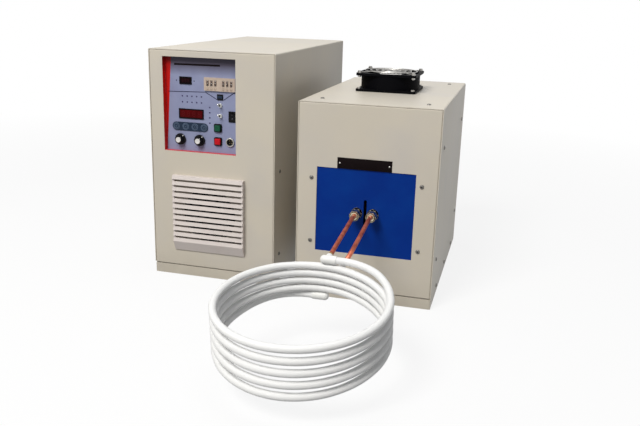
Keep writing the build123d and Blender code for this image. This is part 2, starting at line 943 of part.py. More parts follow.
def make_fan_frame(size, hole_pitch):
    """Two square flanges on a round duct, with the motor base on four struts."""
    bore = size / 2 - fan_wall
    with BuildPart() as frame:
        for start in (0.0, fan_depth - fan_flange):
            with BuildSketch(Plane.XY.offset(start)):
                RectangleRounded(size, size, fan_corner)
            extrude(amount=fan_flange)
        with BuildSketch():
            Circle(size / 2 - fan_wall / 4)
        extrude(amount=fan_depth)
        with BuildSketch():
            Circle(bore)
            with Locations(*square_corners(hole_pitch)):
                Circle(fan_hole_radius)
        extrude(amount=fan_depth, mode=Mode.SUBTRACT)
        with BuildSketch():
            Circle(fan_base_radius)
            for turn in (45.0, 135.0):
                with Locations(Location((0, 0), turn)):
                    Rectangle(2 * bore + fan_wall / 2, fan_strut)
        extrude(amount=fan_base / 2)
        with BuildSketch(Plane.XY.offset(fan_base / 2)):
            Circle(fan_base_radius)
        extrude(amount=fan_base / 2)
        with BuildSketch(Plane.XY.offset(1.0)):
            Circle(rotor_shaft_bore)
        extrude(amount=fan_base, mode=Mode.SUBTRACT)
    return frame


def make_fan_rotor(size):
    """Hub, pitched blades and the shaft that turns in the motor base."""
    tip = size / 2 - fan_wall - fan_clearance
    start = fan_base + fan_clearance
    with BuildPart() as rotor:
        with BuildSketch(Plane.XY.offset(start)):
            Circle(fan_hub_radius)
        extrude(amount=rotor_height)
        fillet(rotor.faces().sort_by(Axis.Z)[-1].edges(), 2.0)
        with PolarLocations(0, blade_count):
            with Locations(Location((0, 0, start + rotor_height / 2), (blade_pitch, 0, 0))):
                Box(tip, blade_chord, blade_thick, align=(Align.MIN, Align.CENTER, Align.CENTER))
        with BuildSketch(Plane.XY.offset(start)):
            Circle(tip)
        extrude(amount=rotor_height, mode=Mode.INTERSECT)
        with BuildSketch(Plane.XY.offset(1.0 + cutout_gap)):
            Circle(rotor_shaft)
        extrude(amount=start)
    return rotor


def placed(piece, where):
    """A finished piece moved to its place."""
    with BuildPart() as result:
        add(where * piece.part)
    return result


power_fan_place = Plane(
    origin=(power.left + grille_at[0], power.front + sheet, grille_at[1]), x_dir=LEFT, z_dir=BACK
).location
write(placed(make_fan_frame(power_fan_size, power_fan_hole_pitch), power_fan_place), "power_fan_frame")
write(placed(make_fan_rotor(power_fan_size), power_fan_place), "power_fan_rotor")

top_fan_place = Location((head.left + top_fan_at[0], head.front + top_fan_at[1], head.height))
write(placed(make_fan_frame(top_fan_size, top_fan_hole_pitch), top_fan_place), "top_fan_frame")
write(placed(make_fan_rotor(top_fan_size), top_fan_place), "top_fan_rotor")

# Finger guard: round wires on four arms, with an eye at each corner
with BuildPart() as fan_guard:
    guard_level = fan_depth + guard_eye_thick / 2
    with Locations((0, 0, guard_level + 1.2 * guard_wire)):
        for ring in guard_rings:
            Torus(ring, guard_wire)
    for turn in (45.0, 135.0):
        diagonal = Vector(1, 0, 0).rotate(Axis.Z, turn)
        with BuildSketch(Plane(origin=(0, 0, guard_level), x_dir=UP, z_dir=diagonal)):
            Circle(guard_wire)
        extrude(amount=top_fan_hole_pitch * math.sqrt(0.5), both=True)
    with BuildSketch(Plane.XY.offset(fan_depth)):
        with Locations(*square_corners(top_fan_hole_pitch)):
            Circle(guard_eye)
    extrude(amount=guard_eye_thick)
    with BuildSketch(Plane.XY.offset(fan_depth)):
        with Locations(*square_corners(top_fan_hole_pitch)):
            Circle(fan_hole_radius)
    extrude(amount=guard_eye_thick, mode=Mode.SUBTRACT)
write(placed(fan_guard, top_fan_place), "fan_guard")

# Fan screws: guard to upper flange, lower flange to the work head's top
with BuildPart() as fan_screws:
    upper = fan_depth + guard_eye_thick
    nut_floor = fan_depth - fan_flange - fan_nut_height
    for x, y in square_corners(top_fan_hole_pitch):
        for bottom, top, nut_level in (
            (nut_floor - fan_screw_end, upper, nut_floor),
            (-sheet - fan_screw_under, fan_flange, fan_flange),
        ):
            with BuildSketch(Plane(origin=(x, y, bottom))):
                Circle(fan_screw_radius)
            extrude(amount=top - bottom)
            with BuildSketch(Plane(origin=(x, y, nut_level))):
                RegularPolygon(fan_nut, 6, major_radius=False)
            extrude(amount=fan_nut_height)
        with BuildSketch(Plane(origin=(x, y, upper))):
            Circle(fan_screw_head)
        extrude(amount=screw_dome)
write(placed(fan_screws, top_fan_place), "fan_screws")

# Heat sink on its two long feet, with the power modules on top
capacitor_back = power.depth - capacitor_inset
heatsink_length = capacitor_back - capacitor_radius - capacitor_gap - heatsink_back
heatsink_middle = power.front + heatsink_back + heatsink_length / 2
heatsink_plane = Plane(origin=(power.left + power.width / 2, heatsink_middle, 0))
with BuildPart() as power_heatsink:
    with BuildSketch(heatsink_plane.offset(heatsink_top)):
        Rectangle(heatsink_width, heatsink_length)
    extrude(amount=-heatsink_base)
    with BuildSketch(heatsink_plane.offset(heatsink_top - heatsink_base)):
        with GridLocations((heatsink_width - 4 * fin_thick) / (fin_count - 1), 0, fin_count, 1):
            Rectangle(fin_thick, heatsink_length)
    extrude(amount=-fin_height)
    with BuildSketch(heatsink_plane.offset(heatsink_top - heatsink_base)):
        with GridLocations(heatsink_width - 2 * fin_thick, 0, 2, 1):
            Rectangle(2 * fin_thick, heatsink_length)
    extrude(amount=-(heatsink_top - heatsink_base - sheet))
write(power_heatsink, "power_heatsink")

with BuildPart() as inverter_modules:
    for at, size in zip(module_places, module_sizes):
        with BuildSketch(heatsink_plane.offset(heatsink_top)):
            with Locations(at):
                RectangleRounded(*size, module_corner)
        extrude(amount=module_height)
write(inverter_modules, "inverter_modules")

# Capacitors: a row of cans in the power cabinet, a row of blocks in the work head
with BuildPart() as capacitors:
    with BuildSketch(Plane(origin=(power.left + power.width / 2, power.front + capacitor_back, sheet))):
        with GridLocations(capacitor_pitch, 0, capacitor_count, 1):
            Circle(capacitor_radius)
    extrude(amount=capacitor_height)
    fillet(capacitors.edges().group_by(Axis.Z)[-1], capacitor_round)
    with BuildSketch(Plane(origin=(head.left + head.width / 2, head.front + tank_capacitor_back, sheet))):
        with GridLocations(tank_capacitor_pitch, 0, tank_capacitor_count, 1):
            RectangleRounded(*tank_capacitor[:2], tank_corner)
    extrude(amount=tank_capacitor[2])
write(capacitors, "capacitors")

# Work head case; a welded cradle on its base carries the transformer
core_bottom = terminal_z - core_size[2] / 2
head_base_pan = make_pan(head, head_pan_spots)
with head_base_pan:
    with BuildSketch(facing(head, core_back)) as cradle:
        with Locations((terminal_x, (sheet + core_bottom) / 2)):
            Rectangle(cradle_width, core_bottom - sheet)
            Rectangle(*grown((cradle_width, core_bottom - sheet), -cradle_sheet), mode=Mode.SUBTRACT)
    extrude(cradle.sketch, amount=-core_size[1])
write(head_base_pan, "head_base_pan")

head_cover = make_cover(head, head_end_spots + head_pan_spots + head_top_spots)
with head_cover:
    above = Plane(origin=(head.left + top_fan_at[0], head.front + top_fan_at[1], head.height))
    with BuildSketch(above) as openings:
        Circle(top_fan_size / 2 - fan_wall)
        with Locations(*square_corners(top_fan_hole_pitch)):
            Circle(fan_hole_radius)
    extrude(openings.sketch, amount=-2 * sheet, mode=Mode.SUBTRACT)
write(head_cover, "head_cover")

opening_middle = (opening_left + opening_width / 2, opening_bottom + opening_height / 2)
terminal_spots = [(terminal_x + s * terminal_spacing / 2, terminal_z) for s in (-1, 1)]

head_front_panel = make_end_panel(head, facing(head), 1, head_end_spots + head_top_spots + board_spots)
with head_front_panel:
    with BuildSketch(facing(head)) as openings:
        with Locations(opening_middle):
            Rectangle(opening_width, opening_height)
    extrude(openings.sketch, amount=-2 * sheet, mode=Mode.SUBTRACT)
write(head_front_panel, "head_front_panel")

head_rear_panel = make_end_panel(head, rear_facing(head), -1, head_end_spots + head_top_spots)
with head_rear_panel:
    cut_vents(head, head_vent_level)
    with BuildSketch(rear_facing(head)) as openings:
        with Locations(*head_spigot_spots):
            Circle(rear_thread + cutout_gap)
        with Locations(*head_stud_spots):
            Circle(power_stud_radius + cutout_gap)
    extrude(openings.sketch, amount=3 * sheet, both=True, mode=Mode.SUBTRACT)
write(head_rear_panel, "head_rear_panel")

# Insulating terminal board behind the opening, slotted between the terminals
with BuildPart() as terminal_board:
    with BuildSketch(facing(head, sheet)):
        with Locations(opening_middle):
            Rectangle(*grown((opening_width, opening_height), terminal_board_margin))
        with Locations(*terminal_spots):
            Circle(stud_hole, mode=Mode.SUBTRACT)
        with Locations((terminal_x, (slot_bottom + slot_top) / 2)):
            SlotOverall(slot_top - slot_bottom, slot_width, rotation=90, mode=Mode.SUBTRACT)
    extrude(amount=-terminal_board_thick)
    drill(board_spots, screw_hole, sheet + terminal_board_thick + 1.0)
write(terminal_board, "terminal_board")

with BuildPart() as name_plate:
    with BuildSketch(facing(head)):
        with Locations((plate_x, opening_bottom + opening_height + plate_height / 2)):
            Rectangle(plate_width, plate_height)
    extrude(amount=plate_thick)
write(name_plate, "name_plate")

# Case screws, one dome head screw repeated
with BuildPart() as screw:
    with BuildSketch():
        Circle(screw_head)
    extrude(amount=screw_dome)
    fillet(screw.faces().sort_by(Axis.Z)[-1].edges(), 0.9 * screw_dome)
    with BuildSketch():
        Circle(screw_radius)
    extrude(amount=-screw_length)

with BuildPart() as case_screws:
    power_screws = power_spots + power_pan_spots
    for place in power_screws + head_end_spots + head_pan_spots + head_top_spots + board_spots:
        add(place * screw.part)
write(case_screws, "case_screws")

# Output terminals: hollow studs through the board, clamped by their own collars
def head_disc(at, radius, start, amount, mode=Mode.ADD):
    """Round block along the work head's front axis, start measured out from the case's front."""
    with BuildSketch(facing(head, -start)) as outline:
        with Locations(at):
            Circle(radius)
    extrude(outline.sketch, amount=amount, mode=mode)


board_back = sheet + terminal_board_thick
with BuildPart() as terminal_studs:
    for at in terminal_spots:
        head_disc(at, stud_radius, -board_back - stud_inside, board_back + stud_inside + stud_reach)
        head_disc(at, washer_radius, -sheet, washer_thick)
        head_disc(at, washer_radius, -board_back, -washer_thick)
        head_disc(at, stud_bore, stud_reach, -stud_reach - board_back - stud_inside, mode=Mode.SUBTRACT)
write(terminal_studs, "terminal_studs")

with BuildPart() as union_nuts:
    for at in terminal_spots:
        with BuildSketch(facing(head, -nut_back)):
            with Locations(at):
                RegularPolygon(nut_flats / 2, 6, major_radius=False)
        extrude(amount=nut_length)
        thread_depth = stud_reach + leg_collar_length - nut_back + cutout_gap
        head_disc(at, nut_thread, nut_back, thread_depth, mode=Mode.SUBTRACT)
        head_disc(at, nut_mouth, nut_back, nut_length, mode=Mode.SUBTRACT)
write(union_nuts, "union_nuts")

# Work coil. The legs leave the terminals level and then droop, and the coil keeps their slope.
droop_origin = Vector(head.left + terminal_x, head.front - leg_run_out, terminal_z)
droop = math.radians(leg_droop)
forward = Vector(0, -math.cos(droop), -math.sin(droop))
upward = Vector(0, -math.sin(droop), math.cos(droop))


def in_coil(x, out, rise=0.0):
    """Point in the coil's own measures: right, forward along the drooping legs, and up."""
    return droop_origin + Vector(1, 0, 0) * x + forward * out + upward * rise


def coil_direction(x, out, rise=0.0):
    """Direction in the coil's own measures."""
    return (Vector(1, 0, 0) * x + forward * out + upward * rise).normalized()


def biarc(start, start_way, end, end_way):
    """Two tangent arcs from start to end that leave and arrive along the given ways."""
    chord = end - start
    both_ways = start_way + end_way
    turn = 2 * (1 - start_way.dot(end_way))
    along = chord.dot(both_ways)
    reach = (math.sqrt(along**2 + turn * chord.dot(chord)) - along) / turn
    joint = (start + end + (start_way - end_way) * reach) * 0.5
    joint_way = (end - end_way * reach - start - start_way * reach).normalized()
    TangentArc(start, joint, tangent=start_way)
    TangentArc(joint, end, tangent=joint_way)


top_leg_x = -terminal_spacing / 2
top_bend_x = top_leg_x + sleeve_back_off + sleeve_straight
last_bend_x = return_x - sleeve_back_off - sleeve_straight
coil_middle = coil_reach + coil_radius
coil_drop = coil_turns * coil_back_pitch


def back_rise(turn):
    """Height of the coil's back after this many whole turns."""
    return -coil_back_pitch * turn


def front_rise(turn):
    """Height of the coil's front in this turn."""
    return -coil_front_first - coil_front_pitch * turn


def coil_path(top_x, bottom_x):
    """One unbroken line: a straight end, five turns of quarter biarcs, and a straight end."""
    quarter = coil_radius * math.pi / 2
    stops = [(top_bend_x, coil_reach, 0.0)]
    ways = [(1, 0)]
    for turn in range(coil_turns):
        last = turn == coil_turns - 1
        start, front, end = back_rise(turn), front_rise(turn), back_rise(turn + 1)
        stops.append((coil_offset + coil_radius, coil_middle, (start + front) / 2))
        stops.append((coil_offset, coil_middle + coil_radius, front))
        stops.append((coil_offset - coil_radius, coil_middle, (front + end) / 2))
        stops.append((last_bend_x if last else coil_offset, coil_reach, end))
        ways += [(0, 1), (-1, 0), (0, -1), (1, 0)]
    slopes = [0.0]
    slopes += [(stops[i + 1][2] - stops[i - 1][2]) / (2 * quarter) for i in range(1, len(stops) - 1)]
    slopes.append(0.0)
    with BuildLine() as path:
        Line(in_coil(top_x, coil_reach), in_coil(*stops[0]))
        for i in range(len(stops) - 1):
            biarc(
                in_coil(*stops[i]),
                coil_direction(*ways[i], slopes[i]),
                in_coil(*stops[i + 1]),
                coil_direction(*ways[i + 1], slopes[i + 1]),
            )
        Line(in_coil(*stops[-1]), in_coil(bottom_x, coil_reach, -coil_drop))
    return path


def make_tube(path, radius, bore):
    """Round tube along a path."""
    line = path.wire()
    with BuildPart() as tube:
        with BuildSketch(Plane(origin=line @ 0, z_dir=line % 0)):
            Circle(radius)
            Circle(bore, mode=Mode.SUBTRACT)
        sweep(path=line)
    return tube


winding_path = coil_path(top_leg_x - leg_radius, return_x + leg_radius)
write(make_tube(winding_path, tube_radius, tube_radius - tube_wall), "coil_winding")

sleeve_path = coil_path(top_leg_x + sleeve_back_off, return_x - sleeve_back_off)
coil_sleeve = make_tube(sleeve_path, sleeve_radius, sleeve_bore)
write(coil_sleeve, "coil_sleeve")

# Least gap between the sleeve's turns, on points along its middle line
sleeve_line = sleeve_path.wire()
steps = 60 * coil_turns
line_points = [sleeve_line @ (i / steps) for i in range(steps + 1)]
near = int(0.5 * steps / coil_turns)
least = min(
    (line_points[i] - line_points[j]).length
    for i in range(steps + 1)
    for j in range(i + near, steps + 1)
)
print(f"coil length {sleeve_line.length:.0f} mm, least gap between turns {least - 2 * sleeve_radius:.2f} mm")


# Copper legs, with the collars that the union nuts pull against the studs
def leg_path(x, corners, radii):
    """Leg line from inside its nut, level, then down the slope through these corners."""
    nut_seat = Vector(head.left + terminal_x + x, head.front - stud_reach, terminal_z)
    with BuildLine() as path:
        FilletPolyline(nut_seat, in_coil(x, 0), *corners, radius=[leg_bend] + radii)
    return path


leg_stop = coil_reach - tube_radius - cutout_gap / 2
return_out = coil_reach - sleeve_radius - return_gap
top_leg = leg_path(top_leg_x, [in_coil(top_leg_x, leg_stop)], [])
return_leg = leg_path(
    -top_leg_x,
    [
        in_coil(-top_leg_x, return_out),
        in_coil(return_x, return_out, -coil_drop),
        in_coil(return_x, leg_stop, -coil_drop),
    ],
    [return_bend, return_end_bend],
)
with BuildPart() as coil_legs:
    for path in (top_leg, return_leg):
        line = path.wire()
        with BuildSketch(Plane(origin=line @ 0, z_dir=line % 0)):
            Circle(leg_radius)
            Circle(leg_radius - leg_wall, mode=Mode.SUBTRACT)
        sweep(path=line)
        with BuildSketch(Plane(origin=line @ 0, z_dir=line % 0)):
            Circle(leg_collar)
            Circle(leg_radius - leg_wall / 2, mode=Mode.SUBTRACT)
        extrude(amount=leg_collar_length)
write(coil_legs, "coil_legs")

# Moulded end boots over the brazed joints of legs and winding
def round_bar(plane, radius, amount, mode=Mode.ADD):
    """Round block from a plane's origin along its normal."""
    with BuildSketch(plane) as outline:
        Circle(radius)
    extrude(outline.sketch, amount=amount, mode=mode)


def make_boot(x, rise, side):
    """Round-nosed boot whose open end looks to the given side, with a neck towards the work head."""
    middle = in_coil(x, coil_reach, rise)
    run = Plane(origin=middle, x_dir=forward, z_dir=coil_direction(side, 0))
    neck = Plane(origin=middle, x_dir=coil_direction(side, 0), z_dir=-forward)
    nose = run.offset(boot_radius - boot_nose)
    with BuildPart() as boot:
        round_bar(nose, boot_radius, boot_nose - boot_radius + boot_length)
        with Locations(nose.location):
            Sphere(boot_radius)
        round_bar(neck, boot_side_radius, boot_side_reach)
        round_bar(neck, return_sleeve_bore, boot_side_reach, Mode.SUBTRACT)
        round_bar(run.offset(-leg_radius - cutout_gap), sleeve_bore, boot_nose + boot_length, Mode.SUBTRACT)
        pocket = run.offset(sleeve_back_off - cutout_gap)
        round_bar(pocket, sleeve_radius + cutout_gap / 2, boot_length, Mode.SUBTRACT)
    return boot


# Boots, and the white sleeve on the return leg from below its first bend down to the lower boot
boot_mouth = coil_reach - boot_side_reach
with BuildPart() as coil_boots:
    with BuildLine() as sleeve_run:
        run_top = in_coil(-top_leg_x, return_out)
        run_foot = in_coil(return_x, return_out, -coil_drop)
        sleeve_start = run_top + (run_foot - run_top).normalized() * (return_bend + return_sleeve_below)
        sleeve_end = in_coil(return_x, boot_mouth, -coil_drop)
        FilletPolyline(sleeve_start, run_foot, sleeve_end, radius=return_end_bend)
    with BuildSketch(Plane(origin=sleeve_run.wire() @ 0, z_dir=sleeve_run.wire() % 0)):
        Circle(return_sleeve)
        Circle(return_sleeve_bore, mode=Mode.SUBTRACT)
    sweep(path=sleeve_run.wire())
    add(make_boot(top_leg_x, 0.0, 1).part)
    add(make_boot(return_x, -coil_drop, -1).part)
write(coil_boots, "coil_boots")

# Transformer of the work head: core, primary winding and the single turn of copper bar
core_origin = (head.left + terminal_x, head.front + core_back, terminal_z)
core_middle = Plane(origin=core_origin, x_dir=RIGHT, z_dir=FRONT)
with BuildPart() as transformer_core:
    with BuildSketch(core_middle):
        Rectangle(core_size[0], core_size[2])
        Rectangle(*core_window, mode=Mode.SUBTRACT)
    extrude(amount=-core_size[1])
write(transformer_core, "transformer_core")

# Primary winding on the core's leg, and the copper bars that make the single output turn
core_leg = (core_size[0] - core_window[0]) / 2
leg_middle_x = head.left + terminal_x + (core_window[0] + core_leg) / 2
winding_plane = Plane(origin=(leg_middle_x, head.front + core_back + core_size[1] / 2, terminal_z))
busbar_start = board_back + stud_inside
with BuildPart() as transformer_copper:
    with BuildSketch(winding_plane):
        RectangleRounded(*grown((core_leg, core_size[1]), winding_gap + winding_wall), 4.0)
        Rectangle(*grown((core_leg, core_size[1]), winding_gap), mode=Mode.SUBTRACT)
    extrude(amount=core_window[1] / 2 - winding_gap, both=True)
    with BuildSketch(facing(head, busbar_start)):
        with Locations(*terminal_spots):
            Rectangle(busbar_thick, busbar_height)
    extrude(amount=busbar_start - busbar_back)
    with BuildSketch(facing(head, busbar_back - busbar_thick)):
        with Locations((terminal_x, terminal_z)):
            Rectangle(terminal_spacing, busbar_height)
    extrude(amount=-busbar_thick)
write(transformer_copper, "transformer_copper")

# Rear connections: hose spigots, cable studs and the mains gland
def add_spigot(case, at):
    """Hollow hose spigot with its hexagon outside and its thread inside the rear panel."""
    tip = -spigot_hex_length - spigot_length
    with BuildSketch(rear_facing(case)) as hexagon:
        with Locations(at):
            RegularPolygon(spigot_hex / 2, 6, major_radius=False)
    extrude(hexagon.sketch, amount=-spigot_hex_length)
    for start, radius, amount, mode in (
        (0.0, spigot_radius, tip, Mode.ADD),
        (0.0, rear_thread, 4 * sheet, Mode.ADD),
        (tip, spigot_bore, 4 * sheet - tip, Mode.SUBTRACT),
    ):
        with BuildSketch(rear_facing(case).offset(start)) as outline:
            with Locations(at):
                Circle(radius)
        extrude(outline.sketch, amount=amount, mode=mode)


with BuildPart() as hose_spigots:
    for case, places in ((power, power_spigot_spots), (head, head_spigot_spots)):
        for at in places:
            add_spigot(case, at)
write(hose_spigots, "hose_spigots")

with BuildPart() as cable_studs:
    for case, places in ((power, power_stud_spots + [earth_spot]), (head, head_stud_spots)):
        for at in places:
            with BuildSketch(rear_facing(case)):
                with Locations(at):
                    RegularPolygon(power_stud_base / 2, 6, major_radius=False)
            extrude(amount=-power_stud_base_length)
            with BuildSketch(rear_facing(case).offset(4 * sheet)):
                with Locations(at):
                    Circle(power_stud_radius)
            extrude(amount=-4 * sheet - power_stud_base_length - power_stud_length)
write(cable_studs, "cable_studs")

with BuildPart() as mains_gland:
    with BuildSketch(rear_facing(power)):
        with Locations(gland_at):
            RegularPolygon(gland_hex / 2, 6, major_radius=False)
    extrude(amount=-gland_hex_length)
    for amount in (-gland_hex_length - gland_inside / 2, gland_inside):
        with BuildSketch(rear_facing(power)):
            with Locations(gland_at):
                Circle(gland_thread)
        extrude(amount=amount)
    with BuildSketch(rear_facing(power).offset(gland_inside)):
        with Locations(gland_at):
            Circle(gland_bore)
    extrude(amount=-2 * gland_inside - gland_hex_length, mode=Mode.SUBTRACT)
write(mains_gland, "mains_gland")
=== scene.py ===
import math

import bmesh
import bpy
from mathutils import Matrix, Vector


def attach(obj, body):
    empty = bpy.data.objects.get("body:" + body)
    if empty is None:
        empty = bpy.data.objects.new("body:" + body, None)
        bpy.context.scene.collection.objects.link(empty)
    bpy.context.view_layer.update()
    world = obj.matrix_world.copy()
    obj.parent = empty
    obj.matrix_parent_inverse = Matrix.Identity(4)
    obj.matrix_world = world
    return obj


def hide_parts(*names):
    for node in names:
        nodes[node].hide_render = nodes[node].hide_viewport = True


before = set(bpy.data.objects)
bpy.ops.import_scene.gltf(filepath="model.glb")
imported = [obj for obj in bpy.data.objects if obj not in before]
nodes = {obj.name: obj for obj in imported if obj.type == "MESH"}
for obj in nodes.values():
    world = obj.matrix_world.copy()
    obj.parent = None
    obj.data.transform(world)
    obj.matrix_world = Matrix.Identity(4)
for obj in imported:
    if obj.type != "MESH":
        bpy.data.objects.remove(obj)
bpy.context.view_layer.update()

# Both cabinets, in millimetres of the row frame
MM = 0.001
POWER_LEFT, POWER_FRONT, POWER_BACK, POWER_WIDTH = -134.0, -275.0, 275.0, 268.0
HEAD_LEFT, HEAD_FRONT, HEAD_BACK, HEAD_WIDTH, HEAD_TOP = 187.0, -295.0, 180.0, 275.0, 391.0
PANEL_FACE = POWER_FRONT + 12.0
RIGHT, UP, FRONT = Vector((1, 0, 0)), Vector((0, 0, 1)), Vector((0, -1, 0))
BACKWARD = -FRONT

# Camera at the photograph's angle
CAMERA_PLACE = Vector((593.8, -1650.6, 580.8))
CAMERA_TURN = [math.radians(angle) for angle in (14.805, 16.191, 1.606)]
SENSOR_WIDTH = 36.0
PHOTO_WIDTH_PX, FOCAL_LENGTH_PX = 640.0, 745.256


def look(position, yaw, pitch, roll):
    """World matrix of a camera that looks along +Y, turned left by yaw, down by pitch, and rolled."""
    forward = Vector((-math.sin(yaw) * math.cos(pitch), math.cos(yaw) * math.cos(pitch), -math.sin(pitch)))
    right = Vector((math.cos(yaw), math.sin(yaw), 0))
    up = right.cross(forward)
    x = math.cos(roll) * right + math.sin(roll) * up
    y = -math.sin(roll) * right + math.cos(roll) * up
    matrix = Matrix((x, y, -forward)).transposed().to_4x4()
    matrix.translation = position
    return matrix


camera_data = bpy.data.cameras.new("camera")
camera_data.sensor_width = SENSOR_WIDTH
camera_data.lens = SENSOR_WIDTH * FOCAL_LENGTH_PX / PHOTO_WIDTH_PX
camera_data.clip_start, camera_data.clip_end = 0.05, 50.0
camera = bpy.data.objects.new("camera", camera_data)
camera.matrix_world = look(CAMERA_PLACE * MM, *CAMERA_TURN)
bpy.context.scene.collection.objects.link(camera)
bpy.context.scene.camera = camera

# Materials
BLACK, WHITE = (0, 0, 0, 1), (1, 1, 1, 1)
ABOVE, BELOW = 1, -1
CLOUD_DETAIL, PATCH_DETAIL, GRAIN_DETAIL = 3.0, 4.0, 2.0
CLOUD_DARK, CLOUD_LIGHT = 0.3, 0.7
PATCH_FINENESS = 2.3
ROUGHNESS_SPREAD, SMOOTHEST = 0.06, 0.02


def srgb(r, g, b):
    """Linear colour from 0-255 sRGB."""
    def one(v):
        v /= 255.0
        return v / 12.92 if v <= 0.04045 else ((v + 0.055) / 1.055) ** 2.4
    return (one(r), one(g), one(b), 1.0)


class Nodes:
    """Shader nodes of one material or world."""

    def __init__(self, owner, empty=False):
        owner.use_nodes = True
        self.tree = owner.node_tree
        if empty:
            self.tree.nodes.clear()

    def feed(self, value, socket):
        """Gives a socket a value, or links another node's output to it."""
        if isinstance(value, bpy.types.NodeSocket):
            self.tree.links.new(value, socket)
        else:
            socket.default_value = value

    def node(self, kind, **inputs):
        """New node; an underscore in an input's name stands for a space."""
        node = self.tree.nodes.new(kind)
        for name, value in inputs.items():
            self.feed(value, node.inputs[name.replace("_", " ")])
        return node

    def math(self, operation, first, second):
        node = self.node("ShaderNodeMath")
        node.operation = operation
        self.feed(first, node.inputs[0])
        self.feed(second, node.inputs[1])
        return node.outputs["Value"]

    def mix(self, share, first, second):
        """Colour from first, at a share of 0, to second."""
        node = self.node("ShaderNodeMix")
        node.data_type = "RGBA"
        for name, value in (("Factor", share), ("A", first), ("B", second)):
            self.feed(value, node.inputs[name])
        return node.outputs["Result"]

    def rays(self, *kinds):
        """Mask that is 1 for rays of any of these kinds."""
        paths = self.node("ShaderNodeLightPath")
        mask = paths.outputs[f"Is {kinds[0]} Ray"]
        for kind in kinds[1:]:
            mask = self.math("MAXIMUM", mask, paths.outputs[f"Is {kind} Ray"])
        return mask

    def output(self, kind, share, first, second):
        """Shader from first, at a share of 0, to second, as the tree's result."""
        mix = self.node("ShaderNodeMixShader", Fac=share)
        self.feed(first, mix.inputs[1])
        self.feed(second, mix.inputs[2])
        self.node(kind, Surface=mix.outputs["Shader"])


class Surface(Nodes):
    """Procedural material: a cloudy tint, patches of a second colour, fine grain, and fades by height."""

    def __init__(self, name, color, roughness, metallic=0.0, tint=0.05, tint_scale=12.0, mottle=None,
                 grain=1200.0, bump=0.05, depth=0.0001, stretch=None, coords="Object", specular=0.2,
                 sheen=0.0, second=None, second_at=(0.55, 0.75)):
        self.material = bpy.data.materials.new(name)
        super().__init__(self.material)
        self.shader = self.tree.nodes["Principled BSDF"]
        for key, value in (("Metallic", metallic), ("Specular IOR Level", specular), ("Sheen Weight", sheen)):
            self.feed(value, self.shader.inputs[key])
        self.source = self.node("ShaderNodeTexCoord").outputs[coords]
        if stretch:
            self.source = self.node("ShaderNodeMapping", Vector=self.source, Scale=stretch).outputs["Vector"]
        dark = tuple(c * (1 - tint) for c in color[:3]) + (1.0,)
        light = tuple(min(1.0, c * (1 + tint)) for c in (mottle or color)[:3]) + (1.0,)
        cloud = self.noise(tint_scale, CLOUD_DETAIL)
        self.color = self.ramp(cloud, [(CLOUD_DARK, dark), (CLOUD_LIGHT, light)])
        if second:
            patch = self.noise(tint_scale * PATCH_FINENESS, PATCH_DETAIL)
            mask = self.ramp(patch, [(second_at[0], BLACK), (second_at[1], WHITE)])
            self.color = self.mix(mask, self.color, second)
        self.feed(self.color, self.shader.inputs["Base Color"])
        spread = self.node("ShaderNodeMapRange", Value=cloud,
                           To_Min=max(SMOOTHEST, roughness - ROUGHNESS_SPREAD),
                           To_Max=min(1.0, roughness + ROUGHNESS_SPREAD))
        self.feed(spread.outputs["Result"], self.shader.inputs["Roughness"])
        self.bump = self.node("ShaderNodeBump", Height=self.noise(grain, GRAIN_DETAIL), Strength=bump,
                              Distance=depth)
        self.feed(self.bump.outputs["Normal"], self.shader.inputs["Normal"])

    def noise(self, scale, detail):
        node = self.node("ShaderNodeTexNoise", Vector=self.source, Scale=scale, Detail=detail)
        return node.outputs["Fac"]

    def ramp(self, value, stops):
        node = self.node("ShaderNodeValToRGB", Fac=value)
        for element, (place, color) in zip(node.color_ramp.elements, stops):
            element.position = place
            element.color = color
        return node.outputs["Color"]

    def fade(self, side, height, soft, amount, color, patches=None):
        """Shades the surface above or below a height towards a colour; lengths are in metres."""
        z = self.node("ShaderNodeSeparateXYZ", Vector=self.source).outputs["Z"]
        edge = self.node("ShaderNodeMapRange", Value=z, From_Min=height - side * soft,
                         From_Max=height + side * soft)
        mask = self.math("MULTIPLY", edge.outputs["Result"], amount)
        if patches:
            mask = self.math("MULTIPLY", mask, self.noise(patches, PATCH_DETAIL))
        self.color = self.mix(mask, self.color, color)
        self.feed(self.color, self.shader.inputs["Base Color"])


# Sheet metal paint, panel paint and plastics
paint = Surface("cabinet_paint", srgb(203, 195, 180), 0.42, tint=0.03, tint_scale=4.0, grain=900.0,
                bump=0.14, depth=0.00025, specular=0.3, second=srgb(196, 190, 182), second_at=(0.45, 0.9))
# Darker in patches over the lowest 60 mm of the cabinets: painted shade where they meet the floor
paint.fade(BELOW, 0.03, 0.03, 0.3, srgb(120, 110, 96), patches=30.0)
panel_paint = Surface("panel_paint", srgb(142, 148, 178), 0.5, tint=0.05, tint_scale=16.0, grain=2200.0,
                      bump=0.05, second=srgb(130, 134, 166), second_at=(0.4, 0.9))
# Darker above 422 mm, towards the window's top: a printed darker band plus painted shade under the window's
# upper edge
panel_paint.fade(ABOVE, 0.434, 0.012, 0.9, srgb(66, 57, 68))
grille_plastic = Surface("grille_plastic", srgb(213, 204, 199), 0.55, tint=0.03, tint_scale=14.0,
                         grain=1500.0, bump=0.06, second=srgb(204, 193, 188), second_at=(0.5, 0.9))
black = Surface("black_plastic", srgb(13, 13, 16), 0.42, tint=0.2, tint_scale=40.0, grain=2600.0, bump=0.12,
                depth=0.00015, specular=0.12)
fan_black = Surface("fan_black", srgb(6, 6, 9), 0.55, tint=0.2, tint_scale=40.0, grain=1400.0, bump=0.15,
                    depth=0.00015, specular=0.04)
gloss_black = Surface("display_bezel", srgb(10, 8, 11), 0.3, tint=0.2, tint_scale=50.0, grain=3000.0,
                      bump=0.02, specular=0.06)
glass_cloud = {"tint": 0.25, "tint_scale": 60.0, "grain": 900.0, "bump": 0.01, "specular": 0.05}
